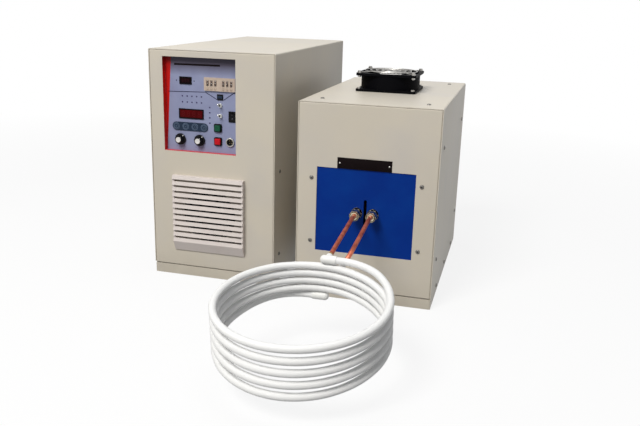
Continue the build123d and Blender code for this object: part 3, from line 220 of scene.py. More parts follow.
red_glass = Surface("display_glass", srgb(76, 2, 6), 0.25, **glass_cloud)
dark_glass = Surface("meter_glass", srgb(20, 4, 8), 0.25, **glass_cloud)
segment_cloud = {"tint": 0.1, "tint_scale": 80.0, "bump": 0.01, "specular": 0.1}
faint_segment = Surface("meter_segment", srgb(40, 5, 9), 0.4, **segment_cloud)
segment = Surface("display_segment", srgb(84, 5, 11), 0.4, **segment_cloud)
cream = Surface("cream_plastic", srgb(192, 174, 158), 0.45, tint=0.05, tint_scale=40.0, grain=2600.0,
                bump=0.05, second=srgb(180, 160, 148), second_at=(0.4, 0.9))
moulded = {"tint_scale": 60.0, "grain": 2600.0}
wheel_brown = Surface("wheel_plastic", srgb(84, 66, 58), 0.5, tint=0.08, bump=0.06, **moulded)
green = Surface("green_plastic", srgb(7, 74, 50), 0.32, tint=0.1, bump=0.04, **moulded)
red = Surface("red_plastic", srgb(196, 12, 26), 0.32, tint=0.1, bump=0.04, **moulded)
keypad = Surface("keypad_plastic", srgb(26, 42, 62), 0.5, tint=0.15, bump=0.08, **moulded)
key_ring = Surface("key_print", srgb(96, 112, 136), 0.55, tint=0.06, tint_scale=90.0, bump=0.03)
lamp = Surface("lamp_lens", srgb(58, 52, 92), 0.3, tint=0.15, tint_scale=90.0, bump=0.02)

# Metals
chrome = Surface("switch_metal", srgb(206, 206, 204), 0.2, metallic=1.0, tint=0.06, tint_scale=60.0,
                 grain=1800.0, bump=0.04)
cap_metal = Surface("knob_cap", srgb(214, 211, 208), 0.3, metallic=0.8, tint=0.05, tint_scale=60.0,
                    grain=1800.0, bump=0.03)
zinc = Surface("zinc_steel", srgb(176, 174, 170), 0.34, metallic=1.0, tint=0.08, tint_scale=70.0,
               grain=1600.0, bump=0.08, second=srgb(132, 128, 122), second_at=(0.5, 0.9))
screw_steel = Surface("screw_steel", srgb(112, 110, 106), 0.36, metallic=1.0, tint=0.08, tint_scale=70.0,
                      grain=1600.0, bump=0.08)
washer_steel = Surface("washer_steel", srgb(136, 128, 112), 0.34, metallic=1.0, tint=0.08, tint_scale=70.0,
                       grain=1500.0, bump=0.08, second=srgb(96, 84, 66), second_at=(0.5, 0.85))
steel = Surface("bare_steel", srgb(150, 150, 152), 0.4, metallic=1.0, tint=0.08, tint_scale=30.0,
                stretch=(1, 60, 1), bump=0.2)
aluminium = Surface("sink_aluminium", srgb(196, 198, 202), 0.36, metallic=1.0, tint=0.04, tint_scale=20.0,
                    stretch=(40, 1, 1), bump=0.15)
brass = Surface("brass_metal", srgb(206, 178, 118), 0.28, metallic=1.0, tint=0.08, tint_scale=60.0,
                grain=1500.0, bump=0.08, second=srgb(160, 124, 72), second_at=(0.5, 0.9))
nickel = Surface("nut_metal", srgb(218, 206, 178), 0.26, metallic=1.0, tint=0.07, tint_scale=70.0,
                 grain=1500.0, bump=0.08, second=srgb(158, 132, 96), second_at=(0.5, 0.85))
copper = Surface("copper_metal", srgb(188, 96, 70), 0.4, metallic=0.55, tint=0.1, tint_scale=34.0,
                 grain=1100.0, bump=0.12, second=srgb(150, 66, 50), second_at=(0.45, 0.8),
                 mottle=srgb(206, 118, 88), specular=0.4)

# Boots, board, label, inner parts, prints and rubber
white_boot = Surface("white_boot", srgb(236, 236, 233), 0.4, tint=0.015, tint_scale=40.0, grain=800.0,
                     bump=0.1, depth=0.0002)
blue = Surface("blue_board", srgb(3, 46, 130), 0.45, tint=0.08, tint_scale=7.0, grain=1400.0, bump=0.06,
               specular=0.08, second=srgb(4, 56, 138), second_at=(0.45, 0.8))
label = Surface("label_black", srgb(17, 10, 11), 0.45, tint=0.15, tint_scale=40.0, grain=2400.0, bump=0.04,
                specular=0.05)
circuit = Surface("circuit_green", srgb(24, 84, 48), 0.4, tint=0.1, tint_scale=50.0, bump=0.1)
can = Surface("capacitor_case", srgb(40, 52, 96), 0.35, tint=0.08, tint_scale=30.0, bump=0.05)
module = Surface("module_case", srgb(46, 46, 50), 0.5, tint=0.1, tint_scale=40.0, bump=0.1)
polyamide = Surface("gland_plastic", srgb(36, 36, 38), 0.5, tint=0.12, tint_scale=60.0, bump=0.12)
red_cloud = {"tint": 0.08, "tint_scale": 14.0, "grain": 2200.0, "bump": 0.04}
wedge_red = Surface("wedge_red", srgb(188, 20, 16), 0.45, **red_cloud)
# Darker above 425 mm: painted shade under the window's upper edge
wedge_red.fade(ABOVE, 0.44, 0.015, 0.7, srgb(110, 6, 8))
# Brighter red than the wedge's for the left wall: painted light to make up for the shade it stands in. It
# darkens above 425 mm as painted shade under the window's upper edge.
wall_red = Surface("wall_red", srgb(228, 30, 18), 0.45, **red_cloud)
wall_red.fade(ABOVE, 0.44, 0.015, 0.7, srgb(128, 8, 9))
foot_red = Surface("foot_red", srgb(206, 70, 78), 0.5, tint=0.06, tint_scale=20.0, grain=2200.0, bump=0.04)
line_ink = Surface("panel_ink", srgb(34, 36, 62), 0.55, tint=0.1, tint_scale=90.0, bump=0.03)
white_ink = Surface("white_ink", srgb(222, 222, 220), 0.5, tint=0.04, tint_scale=90.0, bump=0.03)
grey_ink = Surface("grey_ink", srgb(122, 118, 124), 0.5, tint=0.04, tint_scale=90.0, bump=0.03)
rubber = Surface("black_rubber", srgb(14, 14, 15), 0.62, tint=0.2, tint_scale=60.0, grain=1800.0, bump=0.2)


def sleeve_material():
    """White sleeve whose woven look runs along its own length and round it."""
    surface = Surface("white_sleeve", srgb(238, 238, 237), 0.42, tint=0.012, tint_scale=3.0, grain=60.0,
                      bump=0.05, depth=0.0002, coords="UV", sheen=0.15)
    along = surface.node("ShaderNodeMapping", Vector=surface.source, Scale=(700.0, 12.0, 1.0))
    weave = surface.node("ShaderNodeTexWave", Vector=along.outputs["Vector"], Scale=3.0, Distortion=0.6)
    weave.wave_type = "BANDS"
    weave.bands_direction = "DIAGONAL"
    threads = surface.node("ShaderNodeBump", Height=weave.outputs["Fac"], Strength=0.35, Distance=0.00015,
                           Normal=surface.bump.outputs["Normal"])
    surface.feed(threads.outputs["Normal"], surface.shader.inputs["Normal"])
    return surface


white_sleeve = sleeve_material()

# Each CAD node's material
looks = {
    "power_base_pan": paint, "power_cover": paint, "power_front_panel": paint, "power_rear_panel": paint,
    "head_base_pan": paint, "head_cover": paint, "head_front_panel": paint, "head_rear_panel": paint,
    "control_panel": panel_paint, "current_meter": gloss_black, "main_display": gloss_black,
    "thumbwheel_block": cream, "switch_bezels": black, "indicator_lamps": lamp, "control_bodies": chrome,
    "keypad_bezel": keypad, "footswitch_socket": zinc, "control_board": circuit,
    "intake_grille": grille_plastic, "power_fan_frame": fan_black, "top_fan_frame": fan_black,
    "fan_guard": zinc, "fan_screws": zinc, "power_heatsink": aluminium, "inverter_modules": module,
    "capacitors": can, "terminal_board": blue, "name_plate": label, "case_screws": zinc,
    "terminal_studs": nickel, "union_nuts": nickel,
    "coil_winding": copper, "coil_sleeve": white_sleeve, "coil_legs": copper, "coil_boots": white_boot,
    "transformer_core": steel, "transformer_copper": copper, "hose_spigots": brass, "cable_studs": brass,
    "mains_gland": polyamide, "power_rocker": black, "upper_toggle": chrome, "lower_toggle": chrome,
    "left_knob": black, "right_knob": black, "start_button": green, "stop_button": red, "mode_button": keypad,
    "top_fan_rotor": fan_black, "power_fan_rotor": fan_black,
}
looks |= {f"keypad_key_{i}": keypad for i in range(1, 5)}
looks |= {f"thumbwheel_{i}": wheel_brown for i in range(1, 7)}
for name, node in nodes.items():
    node.data.materials.clear()
    node.data.materials.append(looks[name].material)

# Pieces made here, in millimetres of the row frame
SHARP_EDGE = math.radians(38)
NUT_STEPS, NUT_CORNER = 48, 1.16


def piece(name, verts, faces, look, slot, body="housing", smooth=False, replaces=(), uv=None):
    """Mesh object that rides on a body."""
    mesh = bpy.data.meshes.new(name)
    mesh.from_pydata([tuple(Vector(v) * MM) for v in verts], [], faces)
    mesh.validate()
    mesh.update()
    if uv:
        layer = mesh.uv_layers.new(name="UVMap")
        for loop in mesh.loops:
            layer.data[loop.index].uv = uv[loop.vertex_index]
    mesh.materials.append(look.material)
    item = bpy.data.objects.new(name, mesh)
    bpy.context.scene.collection.objects.link(item)
    if smooth:
        mesh.polygons.foreach_set("use_smooth", [True] * len(mesh.polygons))
        edge = item.modifiers.new("sharp", "EDGE_SPLIT")
        edge.split_angle = SHARP_EDGE
    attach(item, body)
    if replaces:
        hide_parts(*replaces)
    return item


def around(middle, side, other, radius, i, steps):
    """Point at step i of a circle that starts at side and goes on towards other."""
    angle = 2 * math.pi * i / steps
    return middle + (side * math.cos(angle) + other * math.sin(angle)) * radius


def bands(rings):
    """Faces between neighbouring rings of vertices; a ring of one vertex is a tip."""
    faces = []
    for a, b in zip(rings, rings[1:]):
        count = max(len(a), len(b))
        for i in range(count):
            j = (i + 1) % count
            if len(a) == 1:
                faces.append((a[0], b[j], b[i]))
            elif len(b) == 1:
                faces.append((a[i], a[j], b[0]))
            else:
                faces.append((a[i], a[j], b[j], b[i]))
    return faces


class Shape:
    """Collects verts and faces of one piece."""

    def __init__(self):
        self.verts, self.faces = [], []

    def add(self, verts, faces):
        base = len(self.verts)
        self.verts += [Vector(v) for v in verts]
        self.faces += [tuple(base + i for i in face) for face in faces]
        return self

    def lathe(self, profile, origin, axis, segments=32, closed=False):
        """Turns (radius, height) pairs about an axis; a radius of 0 closes the end."""
        axis = Vector(axis).normalized()
        side = axis.orthogonal().normalized()
        other = axis.cross(side)
        rings, verts = [], []
        for radius, height in profile:
            middle = Vector(origin) + axis * height
            count = segments if radius > 0 else 1
            rings.append(range(len(verts), len(verts) + count))
            verts += [around(middle, side, other, radius, i, segments) for i in range(count)]
        if closed:
            rings.append(rings[0])
        return self.add(verts, bands(rings))

    def ring(self, outer, inner, origin, axis, depth, segments=40):
        """Flat ring."""
        section = [(outer, 0), (outer, depth), (inner, depth), (inner, 0)]
        return self.lathe(section, origin, axis, segments, closed=True)

    def block(self, low, high, bevel=0.0):
        """Box with bevelled edges."""
        bm = bmesh.new()
        bmesh.ops.create_cube(bm, size=1.0)
        low, high = Vector(low), Vector(high)
        size = high - low
        for v in bm.verts:
            v.co = Vector([low[k] + (v.co[k] + 0.5) * size[k] for k in range(3)])
        if bevel:
            bmesh.ops.bevel(bm, geom=bm.edges[:], offset=bevel, segments=2, profile=0.5, affect="EDGES")
        bm.verts.index_update()
        self.add([v.co.copy() for v in bm.verts], [tuple(v.index for v in f.verts) for f in bm.faces])
        bm.free()
        return self

    def prism(self, outline, origin, x_way, y_way, depth):
        """Flat outline pushed along x_way cross y_way."""
        normal = x_way.cross(y_way)
        bottom = [Vector(origin) + x_way * x + y_way * y for x, y in outline]
        count = len(bottom)
        faces = [tuple(reversed(range(count))), tuple(range(count, 2 * count))]
        faces += [(i, (i + 1) % count, count + (i + 1) % count, count + i) for i in range(count)]
        return self.add(bottom + [p + normal * depth for p in bottom], faces)

    def bar(self, start, end, half_width, origin, x_way, y_way, depth):
        """Straight bar along x_way between two distances from the origin."""
        outline = [(start, -half_width), (end, -half_width), (end, half_width), (start, half_width)]
        return self.prism(outline, origin, x_way, y_way, depth)

    def line(self, start, end, width, origin, depth, past=0.0):
        """Line between two points of the panel's plane, drawn past both by a length."""
        start, end = Vector(start), Vector(end)
        way = (end - start).normalized()
        side = Vector((-way.y, way.x)) * width / 2
        start, end = start - way * past, end + way * past
        return self.prism([start - side, end - side, end + side, start + side], origin, RIGHT, UP, depth)

    def tube(self, points, radius, segments):
        """Round tube along points, whose radius is a function of the point's number."""
        side = (points[1] - points[0]).normalized().orthogonal().normalized()
        rings, verts = [], []
        for i, point in enumerate(points):
            way = (points[min(i + 1, len(points) - 1)] - points[max(i - 1, 0)]).normalized()
            side = (side - way * side.dot(way)).normalized()
            rings.append(range(len(verts), len(verts) + segments))
            verts += [around(point, side, way.cross(side), radius(i), k, segments) for k in range(segments)]
        ends = [tuple(reversed(rings[0])), tuple(rings[-1])]
        return self.add(verts, bands(rings) + ends)

    def nut(self, middle, out, flats, start, length, chamfer, hole):
        """Hexagon nut whose corners are turned off at both ends."""
        other = out.cross(UP)
        flat = flats / 2
        corner = NUT_CORNER * flat
        steps = NUT_STEPS
        section = [(hole, 0), (flat, 0), (corner, chamfer), (corner, length - chamfer),
                   (flat, length), (hole, length)]
        rings, verts = [], []
        for limit, height in section:
            rings.append(range(len(verts), len(verts) + steps))
            for i in range(steps):
                from_flat = (2 * math.pi * i / steps + math.pi / 6) % (math.pi / 3) - math.pi / 6
                radius = min(flat / math.cos(from_flat), limit)
                verts.append(around(middle + out * (start + height), UP, other, radius, i, steps))
        return self.add(verts, bands(rings + rings[:1]))

    def thread(self, middle, out, radius, start, length, pitch, depth):
        """Ridged surface of a threaded stud."""
        profile = [(radius - depth, start)]
        for i in range(int(length / pitch)):
            low = start + i * pitch
            profile += [(radius, low + 0.35 * pitch), (radius, low + 0.5 * pitch),
                        (radius - depth, low + pitch)]
        profile += [(radius - depth, start + length)]
        return self.lathe(profile, middle, out)

    def text(self, words, middle, size, x_way, y_way, depth=0.06):
        """Digits or signs centred on a point."""
        curve = bpy.data.curves.new("letters", "FONT")
        curve.body = words
        curve.size = 1.0
        curve.align_x = "CENTER"
        curve.align_y = "CENTER"
        curve.resolution_u = 3
        item = bpy.data.objects.new("letters", curve)
        bpy.context.scene.collection.objects.link(item)
        bpy.context.view_layer.update()
        mesh = bpy.data.meshes.new_from_object(item.evaluated_get(bpy.context.evaluated_depsgraph_get()))
        lifted = Vector(middle) + x_way.cross(y_way) * depth
        verts = [lifted + x_way * v.co.x * size + y_way * v.co.y * size for v in mesh.vertices]
        self.add(verts, [tuple(p.vertices) for p in mesh.polygons])
        bpy.data.objects.remove(item)
        bpy.data.meshes.remove(mesh)
        bpy.data.curves.remove(curve)
        return self

    def make(self, name, look, slot, **options):
        return piece(name, self.verts, self.faces, look, slot, **options)


# Control panel, measured from the power cabinet's left bottom corner and the panel's face
WINDOW_LEFT, WINDOW_RIGHT, WINDOW_BOTTOM, WINDOW_TOP = 30.0, 186.0, 269.0, 459.0
WALL_DEPTH, WALL_THICKNESS = 11.4, 0.12
INK = 0.08
GAP = 0.2
KNOB_X, KNOB_Z = (61.0, 103.4), 292.4


def on_panel(x, z, height=0.0):
    """Point at a height over the panel's face."""
    return Vector((POWER_LEFT + x, PANEL_FACE - height, z))


# Red wedge and the red walls of the window; the left wall is in the brightened red, painted light against its
# shade
WEDGE_LEFT, WEDGE_LOWER_RIGHT, WEDGE_UPPER_RIGHT = WINDOW_LEFT + 0.3, 30.7, 43.5
WEDGE_BOTTOM, WEDGE_TOP = WINDOW_BOTTOM + GAP, WINDOW_TOP - 2 * GAP
wedge = [(WEDGE_LEFT, WEDGE_BOTTOM), (WEDGE_LOWER_RIGHT, WEDGE_BOTTOM), (WEDGE_UPPER_RIGHT, WEDGE_TOP),
         (WEDGE_LEFT, WEDGE_TOP)]
Shape().prism(wedge, on_panel(0, 0), RIGHT, UP, INK).make("red_wedge", wedge_red, "panel_paint")
left_wall = Shape().block(on_panel(WINDOW_LEFT, WINDOW_BOTTOM + GAP, WALL_DEPTH),
                          on_panel(WINDOW_LEFT + WALL_THICKNESS, WINDOW_TOP - GAP, 0.1))
left_wall.make("red_left_wall", wall_red, "panel_paint")
bottom_wall = Shape().block(on_panel(WINDOW_LEFT + GAP, WINDOW_BOTTOM, WALL_DEPTH),
                            on_panel(WINDOW_RIGHT - GAP, WINDOW_BOTTOM + WALL_THICKNESS))
bottom_wall.make("red_bottom_wall", foot_red, "panel_paint")


def stroke(shape, path, width):
    """Printed line through panel points."""
    for start, end in zip(path, path[1:]):
        shape.line(start, end, width, on_panel(0, 0), INK, past=width / 4)


lines = Shape()
stroke(lines, [(36, 388.3), (117.2, 390.9), (141.1, 377.9)], 1.5)
stroke(lines, [(156.4, 377.2), (177.5, 392), (185.6, 392.4)], 1.5)
for x in (54.5, 92.9):
    lines.ring(1.3, 0.0001, on_panel(x, 411.5), FRONT, INK, 16)
lines.make("panel_lines", line_ink, "panel_paint")
heading = Shape()
stroke(heading, [(51, 443.4), (148, 444.4)], 3.6)
heading.make("heading_bar", label, "panel_paint")

# Dial scales round the knobs, with plain numbers at both ends and in the middle
SCALE_START, SCALE_STEP, SCALE_RADIUS, NUMBER_RADIUS = 240, 30, 12.9, 17.2
scale = Shape()
for x in KNOB_X:
    for i in range(11):
        angle = math.radians(SCALE_START - SCALE_STEP * i)
        way = RIGHT * math.cos(angle) + UP * math.sin(angle)
        numbered = i % 5 == 0
        end = SCALE_RADIUS + (1.8 if numbered else 1.0)
        scale.bar(SCALE_RADIUS, end, 0.2, on_panel(x, KNOB_Z), way, FRONT.cross(way), INK)
        if numbered:
            scale.text(str(i), on_panel(x, KNOB_Z) + way * NUMBER_RADIUS, 2.6, RIGHT, UP)
scale.make("dial_scales", line_ink, "panel_paint")

# Display glasses and the faint unlit figures behind them
GLASS_FRONT, GLASS_BACK = 1.25, 0.85


def glass(name, look, left, right, bottom, top):
    pane = Shape().block(on_panel(left, bottom, GLASS_FRONT), on_panel(right, top, GLASS_BACK), 0.15)
    pane.make(name, look, "display_plastic", smooth=True)


def eights(name, look, count, first, pitch, z, width, height):
    """Row of seven-segment eights, centred on the first one's place and on a height."""
    shape = Shape()
    bar = 0.14 * height
    bottom = z - height / 2
    front = GLASS_FRONT + 0.05
    for x in [first + pitch * i for i in range(count)]:
        for level in range(3):
            low = bottom + level * (height - bar) / 2
            shape.block(on_panel(x - width / 2 + bar, low, front),
                        on_panel(x + width / 2 - bar, low + bar, GLASS_FRONT))
        for side in (-1, 1):
            edge = x + side * (width - bar) / 2
            for half in range(2):
                low = bottom + bar + half * (height - bar) / 2
                shape.block(on_panel(edge - bar / 2, low, front),
                            on_panel(edge + bar / 2, low + (height - 3 * bar) / 2, GLASS_FRONT))
    shape.make(name, look, "display_plastic")


glass("display_glass", red_glass, left=61.0, right=110.2, bottom=337.6, top=353.0)
glass("meter_glass", dark_glass, left=63.6, right=85.4, bottom=406.8, top=417.2)
eights("display_figures", segment, count=4, first=68.2, pitch=11.6, z=345.3, width=6.4, height=10.4)
eights("meter_figures", faint_segment, count=3, first=68.6, pitch=5.9, z=412.0, width=3.6, height=6.4)

# Keypad prints: a ring and a plain sign on each key, and a ring round it
KEYPAD_X, KEYPAD_Z, KEY_PITCH = 83.0, 319.2, 20.2
KEY_FACE, KEYPAD_FACE, KEY_INK = 2.19, 1.49, 0.07
plus = [(-2.2, 0, 2.2, 0), (0, -2.2, 0, 2.2)]
down = [(-1.6, 1.2, 0, -1.4), (0, -1.4, 1.6, 1.2)]
up = [(-1.6, -1.2, 0, 1.4), (0, 1.4, 1.6, -1.2)]
two_bars = [(-2.0, 0.8, 2.0, 0.8), (-2.0, -0.8, 2.0, -0.8)]
SIGN_WIDTH = 0.56
for i, sign in enumerate((plus, down, up, two_bars)):
    x = KEYPAD_X + (i - 1.5) * KEY_PITCH
    face = on_panel(x, KEYPAD_Z, KEY_FACE)
    prints = Shape().ring(4.9, 4.1, face, FRONT, KEY_INK, 32)
    for x0, z0, x1, z1 in sign:
        prints.line((x0, z0), (x1, z1), SIGN_WIDTH, face, KEY_INK)
    prints.make(f"key_print_{i + 1}", key_ring, "key_plastic", body=f"keypad_key_{i + 1}_body")
    surround = Shape().ring(6.9, 6.1, on_panel(x, KEYPAD_Z, KEYPAD_FACE), FRONT, KEY_INK)
    surround.make(f"key_surround_{i + 1}", key_ring, "keypad_plastic")

# Knobs: fluted body, turned metal cap and pointer line
FLUTES, STEPS_PER_FLUTE, FLUTE_DEPTH = 20, 6, 0.28
POINTER_ANGLE = math.radians(52)
KNOB_SKIRT = [(11.0, 1.0), (11.7, 1.35), (11.7, 2.7), (11.0, 3.5)]
KNOB_GRIP = [(8.7, 3.8), (8.5, 4.2), (7.9, 11.4)]
KNOB_TOP = [(7.3, 12.4), (5.6, 12.6)]
CAP_PROFILE = [(5.5, 12.4), (5.5, 13.3), (5.1, 13.75), (4.2, 13.78), (4.0, 13.66), (2.6, 13.7), (2.4, 13.6),
               (0, 13.62)]


def knob(name, x):
    middle = on_panel(x, KNOB_Z)
    steps = FLUTES * STEPS_PER_FLUTE
    rings, verts = [], []
    for radius, height in KNOB_SKIRT + KNOB_GRIP + KNOB_TOP:
        rings.append(range(len(verts), len(verts) + steps))
        depth = FLUTE_DEPTH if (radius, height) in KNOB_GRIP else 0.0
        for i in range(steps):
            flute = depth * max(0.0, math.cos(2 * math.pi * i / STEPS_PER_FLUTE))
            verts.append(around(middle + FRONT * height, RIGHT, UP, radius - flute, i, steps))
    ends = [tuple(rings[-1]), tuple(reversed(rings[0]))]
    body = Shape().add(verts, bands(rings) + ends)
    body.make(f"{name}_body_piece", black, "knob_plastic", body=f"{name}_body", smooth=True, replaces=(name,))
    cap = Shape().lathe(CAP_PROFILE, middle, FRONT, 40)
    cap.make(f"{name}_cap", cap_metal, "switch_metal", body=f"{name}_body", smooth=True)
    way = RIGHT * math.cos(POINTER_ANGLE) + UP * math.sin(POINTER_ANGLE)
    across = FRONT.cross(way)
    pointer = Shape().bar(5.7, 7.2, 0.7, middle + FRONT * 12.5, way, across, 0.14)
    pointer.bar(8.4, 11.3, 0.8, middle + FRONT * 3.5, way, across, 0.36)
    pointer.make(f"{name}_pointer", white_ink, "knob_plastic", body=f"{name}_body")


knob("left_knob", KNOB_X[0])
knob("right_knob", KNOB_X[1])

# Thumbwheels: figures round each wheel, and the tab below it
WHEEL_MIDDLE, WHEEL_GROUP_OFFSET, WHEEL_PITCH = 148.5, 16.8, 8.4
WHEEL_Z, WHEEL_AXLE_DEPTH, FIGURE_RADIUS = 409.5, 3.8, 8.46
wheel_x = [WHEEL_MIDDLE + side * WHEEL_GROUP_OFFSET + (i - 1) * WHEEL_PITCH
           for side in (-1, 1) for i in range(3)]
for number, x in enumerate(wheel_x, start=1):
    middle = on_panel(x, WHEEL_Z, -WHEEL_AXLE_DEPTH)
    figures = Shape()
    for digit in range(10):
        angle = math.radians(36 * (digit - (3 * number) % 10))
        out = FRONT * math.cos(angle) + UP * math.sin(angle)
        figures.text(str(digit), middle + out * FIGURE_RADIUS, 3.9, RIGHT, out.cross(RIGHT), INK)
    figures.make(f"wheel_figures_{number}", white_ink, "cream_plastic", body=f"thumbwheel_{number}_body")
    tab = Shape().block(on_panel(x - 1.5, 396.0, 3.4), on_panel(x + 1.5, 400.6, 2.5), 0.4)
    tab.block(on_panel(x - 1.3, 397.9, 3.9), on_panel(x + 1.3, 398.9, 3.3), 0.2)
    tab.make(f"wheel_tab_{number}", cream, "cream_plastic", smooth=True)

# Rocker signs: I and O on its two slopes
ROCKER_TILT = Matrix.Rotation(math.radians(10), 3, "X")
ROCKER_HALF, ROCKER_RISE, ROCKER_MIDDLE = 7.5, 2.0, 1.4
SIGN_LEVEL = 3.9
pivot = on_panel(174.4, 344.8, -1.0)
slope = math.atan2(ROCKER_RISE, ROCKER_HALF)
signs = Shape()
for side, word in ((1, "I"), (-1, "O")):
    along = UP * math.cos(slope) + FRONT * math.sin(slope) * side
    spot = UP * side * SIGN_LEVEL + FRONT * (ROCKER_MIDDLE + ROCKER_RISE * SIGN_LEVEL / ROCKER_HALF)
    signs.text(word, pivot + ROCKER_TILT @ spot, 4.2, RIGHT, ROCKER_TILT @ along)
signs.make("rocker_signs", grey_ink, "black_plastic", body="power_rocker_body")

# Socket: black insert face, key nose and contacts over the shell
SOCKET_X, SOCKET_Z = 169.6, 293.0
INSERT_PROFILE = [(6.9, -4.6), (6.9, -4.3), (6.5, -4.2), (0, -4.2)]
CONTACT_PROFILE, CONTACT_RADIUS = [(0.8, -4.3), (0.8, -2.6), (0.5, -2.1), (0, -2.0)], 3.6
insert = Shape().lathe(INSERT_PROFILE, on_panel(SOCKET_X, SOCKET_Z), FRONT, 40)
insert.block(on_panel(SOCKET_X - 1.0, 298.2, -1.0), on_panel(SOCKET_X + 1.0, 299.9, -4.4), 0.2)
insert.make("socket_insert_face", rubber, "black_plastic", smooth=True)
contacts = Shape()
for angle in (math.radians(45 + 90 * k) for k in range(4)):
    spot = on_panel(SOCKET_X + CONTACT_RADIUS * math.cos(angle), SOCKET_Z + CONTACT_RADIUS * math.sin(angle))
    contacts.lathe(CONTACT_PROFILE, spot, FRONT, 16)
contacts.make("socket_contacts", brass, "brass_metal", smooth=True)

# Push buttons: crowned caps over the CAD ones
BUTTON_X, CAP_HALF, CAP_FACE, CAP_FOOT = 143.6, 6.0, 6.35, -10.5
CROWN = [(4.1, 6.3), (4.1, 6.45), (3.8, 6.48), (3.6, 6.4), (0, 6.38)]
for name, z, look_of, slot in (("start_button", 320.3, green, "green_plastic"),
                               ("stop_button", 293.0, red, "red_plastic")):
    cap = Shape().block(on_panel(BUTTON_X - CAP_HALF, z - CAP_HALF, CAP_FACE),
                        on_panel(BUTTON_X + CAP_HALF, z + CAP_HALF, CAP_FOOT), 1.1)
    cap.lathe(CROWN, on_panel(BUTTON_X, z), FRONT, 40)
    cap.make(f"{name}_cap", look_of, slot, body=f"{name}_body", smooth=True, replaces=(name,))


# Case screws: domed heads, and a black cross of bars on each dome, painted shade in place of a cut cross
# recess
def screw_places():
    """Each screw's place and the way its head looks."""
    places = []
    for x, out in ((POWER_LEFT, -RIGHT), (POWER_LEFT + POWER_WIDTH, RIGHT)):
        for y in (34.0, 516.0):
            for z in (60.0, 237.0):
                places.append((Vector((x, POWER_FRONT + y, z)), out))
        for y in (275.0, 458.0):
            places.append((Vector((x, POWER_FRONT + y, 28.5)), out))
    for x, out in ((HEAD_LEFT, -RIGHT), (HEAD_LEFT + HEAD_WIDTH, RIGHT)):
        for y in (50.0, 425.0):
            for z in (88.0, 312.0):
                places.append((Vector((x, HEAD_FRONT + y, z)), out))
        for y in (92.0, 242.0, 383.0):
            places.append((Vector((x, HEAD_FRONT + y, 17.0)), out))
    for x in (34.0, 241.0):
        for y in (50.0, 425.0):
            places.append((Vector((HEAD_LEFT + x, HEAD_FRONT + y, HEAD_TOP)), UP))
    for x in (29.5, 244.0):
        for z in (116.0, 244.0):
            places.append((Vector((HEAD_LEFT + x, HEAD_FRONT, z)), FRONT))
    return places


HEAD_DOME = [(4.2, 0), (4.15, 0.5), (3.6, 1.4), (2.4, 2.0), (1.2, 2.15), (0, 2.17)]
RECESS_HALF, RECESS_HALF_WIDTH, RECESS_LEVEL = 1.9, 0.32, 1.95
TURN_PER_SCREW = math.radians(37)
heads, crosses = Shape(), Shape()
for count, (place, out) in enumerate(screw_places()):
    heads.lathe(HEAD_DOME, place, out, 24)
    side = Matrix.Rotation(TURN_PER_SCREW * count, 3, out) @ out.orthogonal().normalized()
    other = out.cross(side)
    # Black bars on the dome: painted shade of the cross recess
    for a, b in ((side, other), (other, -side)):
        crosses.bar(-RECESS_HALF, RECESS_HALF, RECESS_HALF_WIDTH, place + out * RECESS_LEVEL, a, b, 0.24)
heads.make("case_screw_heads", screw_steel, "zinc_steel", smooth=True, replaces=("case_screws",))
crosses.make("case_screw_recesses", label, "zinc_steel")

# Bare plate with a raised rim and two rivets
PLATE_LEFT, PLATE_RIGHT, PLATE_BOTTOM, PLATE_TOP = HEAD_LEFT + 80.0, HEAD_LEFT + 186.0, 266.5, 288.0
PLATE_THICKNESS, RIM_FRONT, RIM_BACK = 0.8, 0.95, 0.7
RIM_OUTER, RIM_INNER, RIVET_INSET = 1.0, 1.6, 5.0
plate = Shape().block((PLATE_LEFT, HEAD_FRONT - PLATE_THICKNESS, PLATE_BOTTOM),
                      (PLATE_RIGHT, HEAD_FRONT, PLATE_TOP), 0.35)
left, right = PLATE_LEFT + RIM_OUTER, PLATE_RIGHT - RIM_OUTER
bottom, top = PLATE_BOTTOM + RIM_OUTER, PLATE_TOP - RIM_OUTER
for x0, x1, z0, z1 in ((left, right, bottom, PLATE_BOTTOM + RIM_INNER),
                       (left, right, PLATE_TOP - RIM_INNER, top),
                       (left, PLATE_LEFT + RIM_INNER, bottom, top),
                       (PLATE_RIGHT - RIM_INNER, right, bottom, top)):
    plate.block((x0, HEAD_FRONT - RIM_FRONT, z0), (x1, HEAD_FRONT - RIM_BACK, z1))
plate.make("bare_label_plate", label, "label_black", smooth=True, replaces=("name_plate",))
rivets = Shape()
for x in (PLATE_LEFT + RIVET_INSET, PLATE_RIGHT - RIVET_INSET):
    spot = (x, HEAD_FRONT, (PLATE_BOTTOM + PLATE_TOP) / 2)
    rivets.lathe([(1.5, 0.7), (1.4, 1.2), (0.8, 1.6), (0, 1.7)], spot, FRONT, 20)
rivets.make("label_rivets", zinc, "zinc_steel", smooth=True)

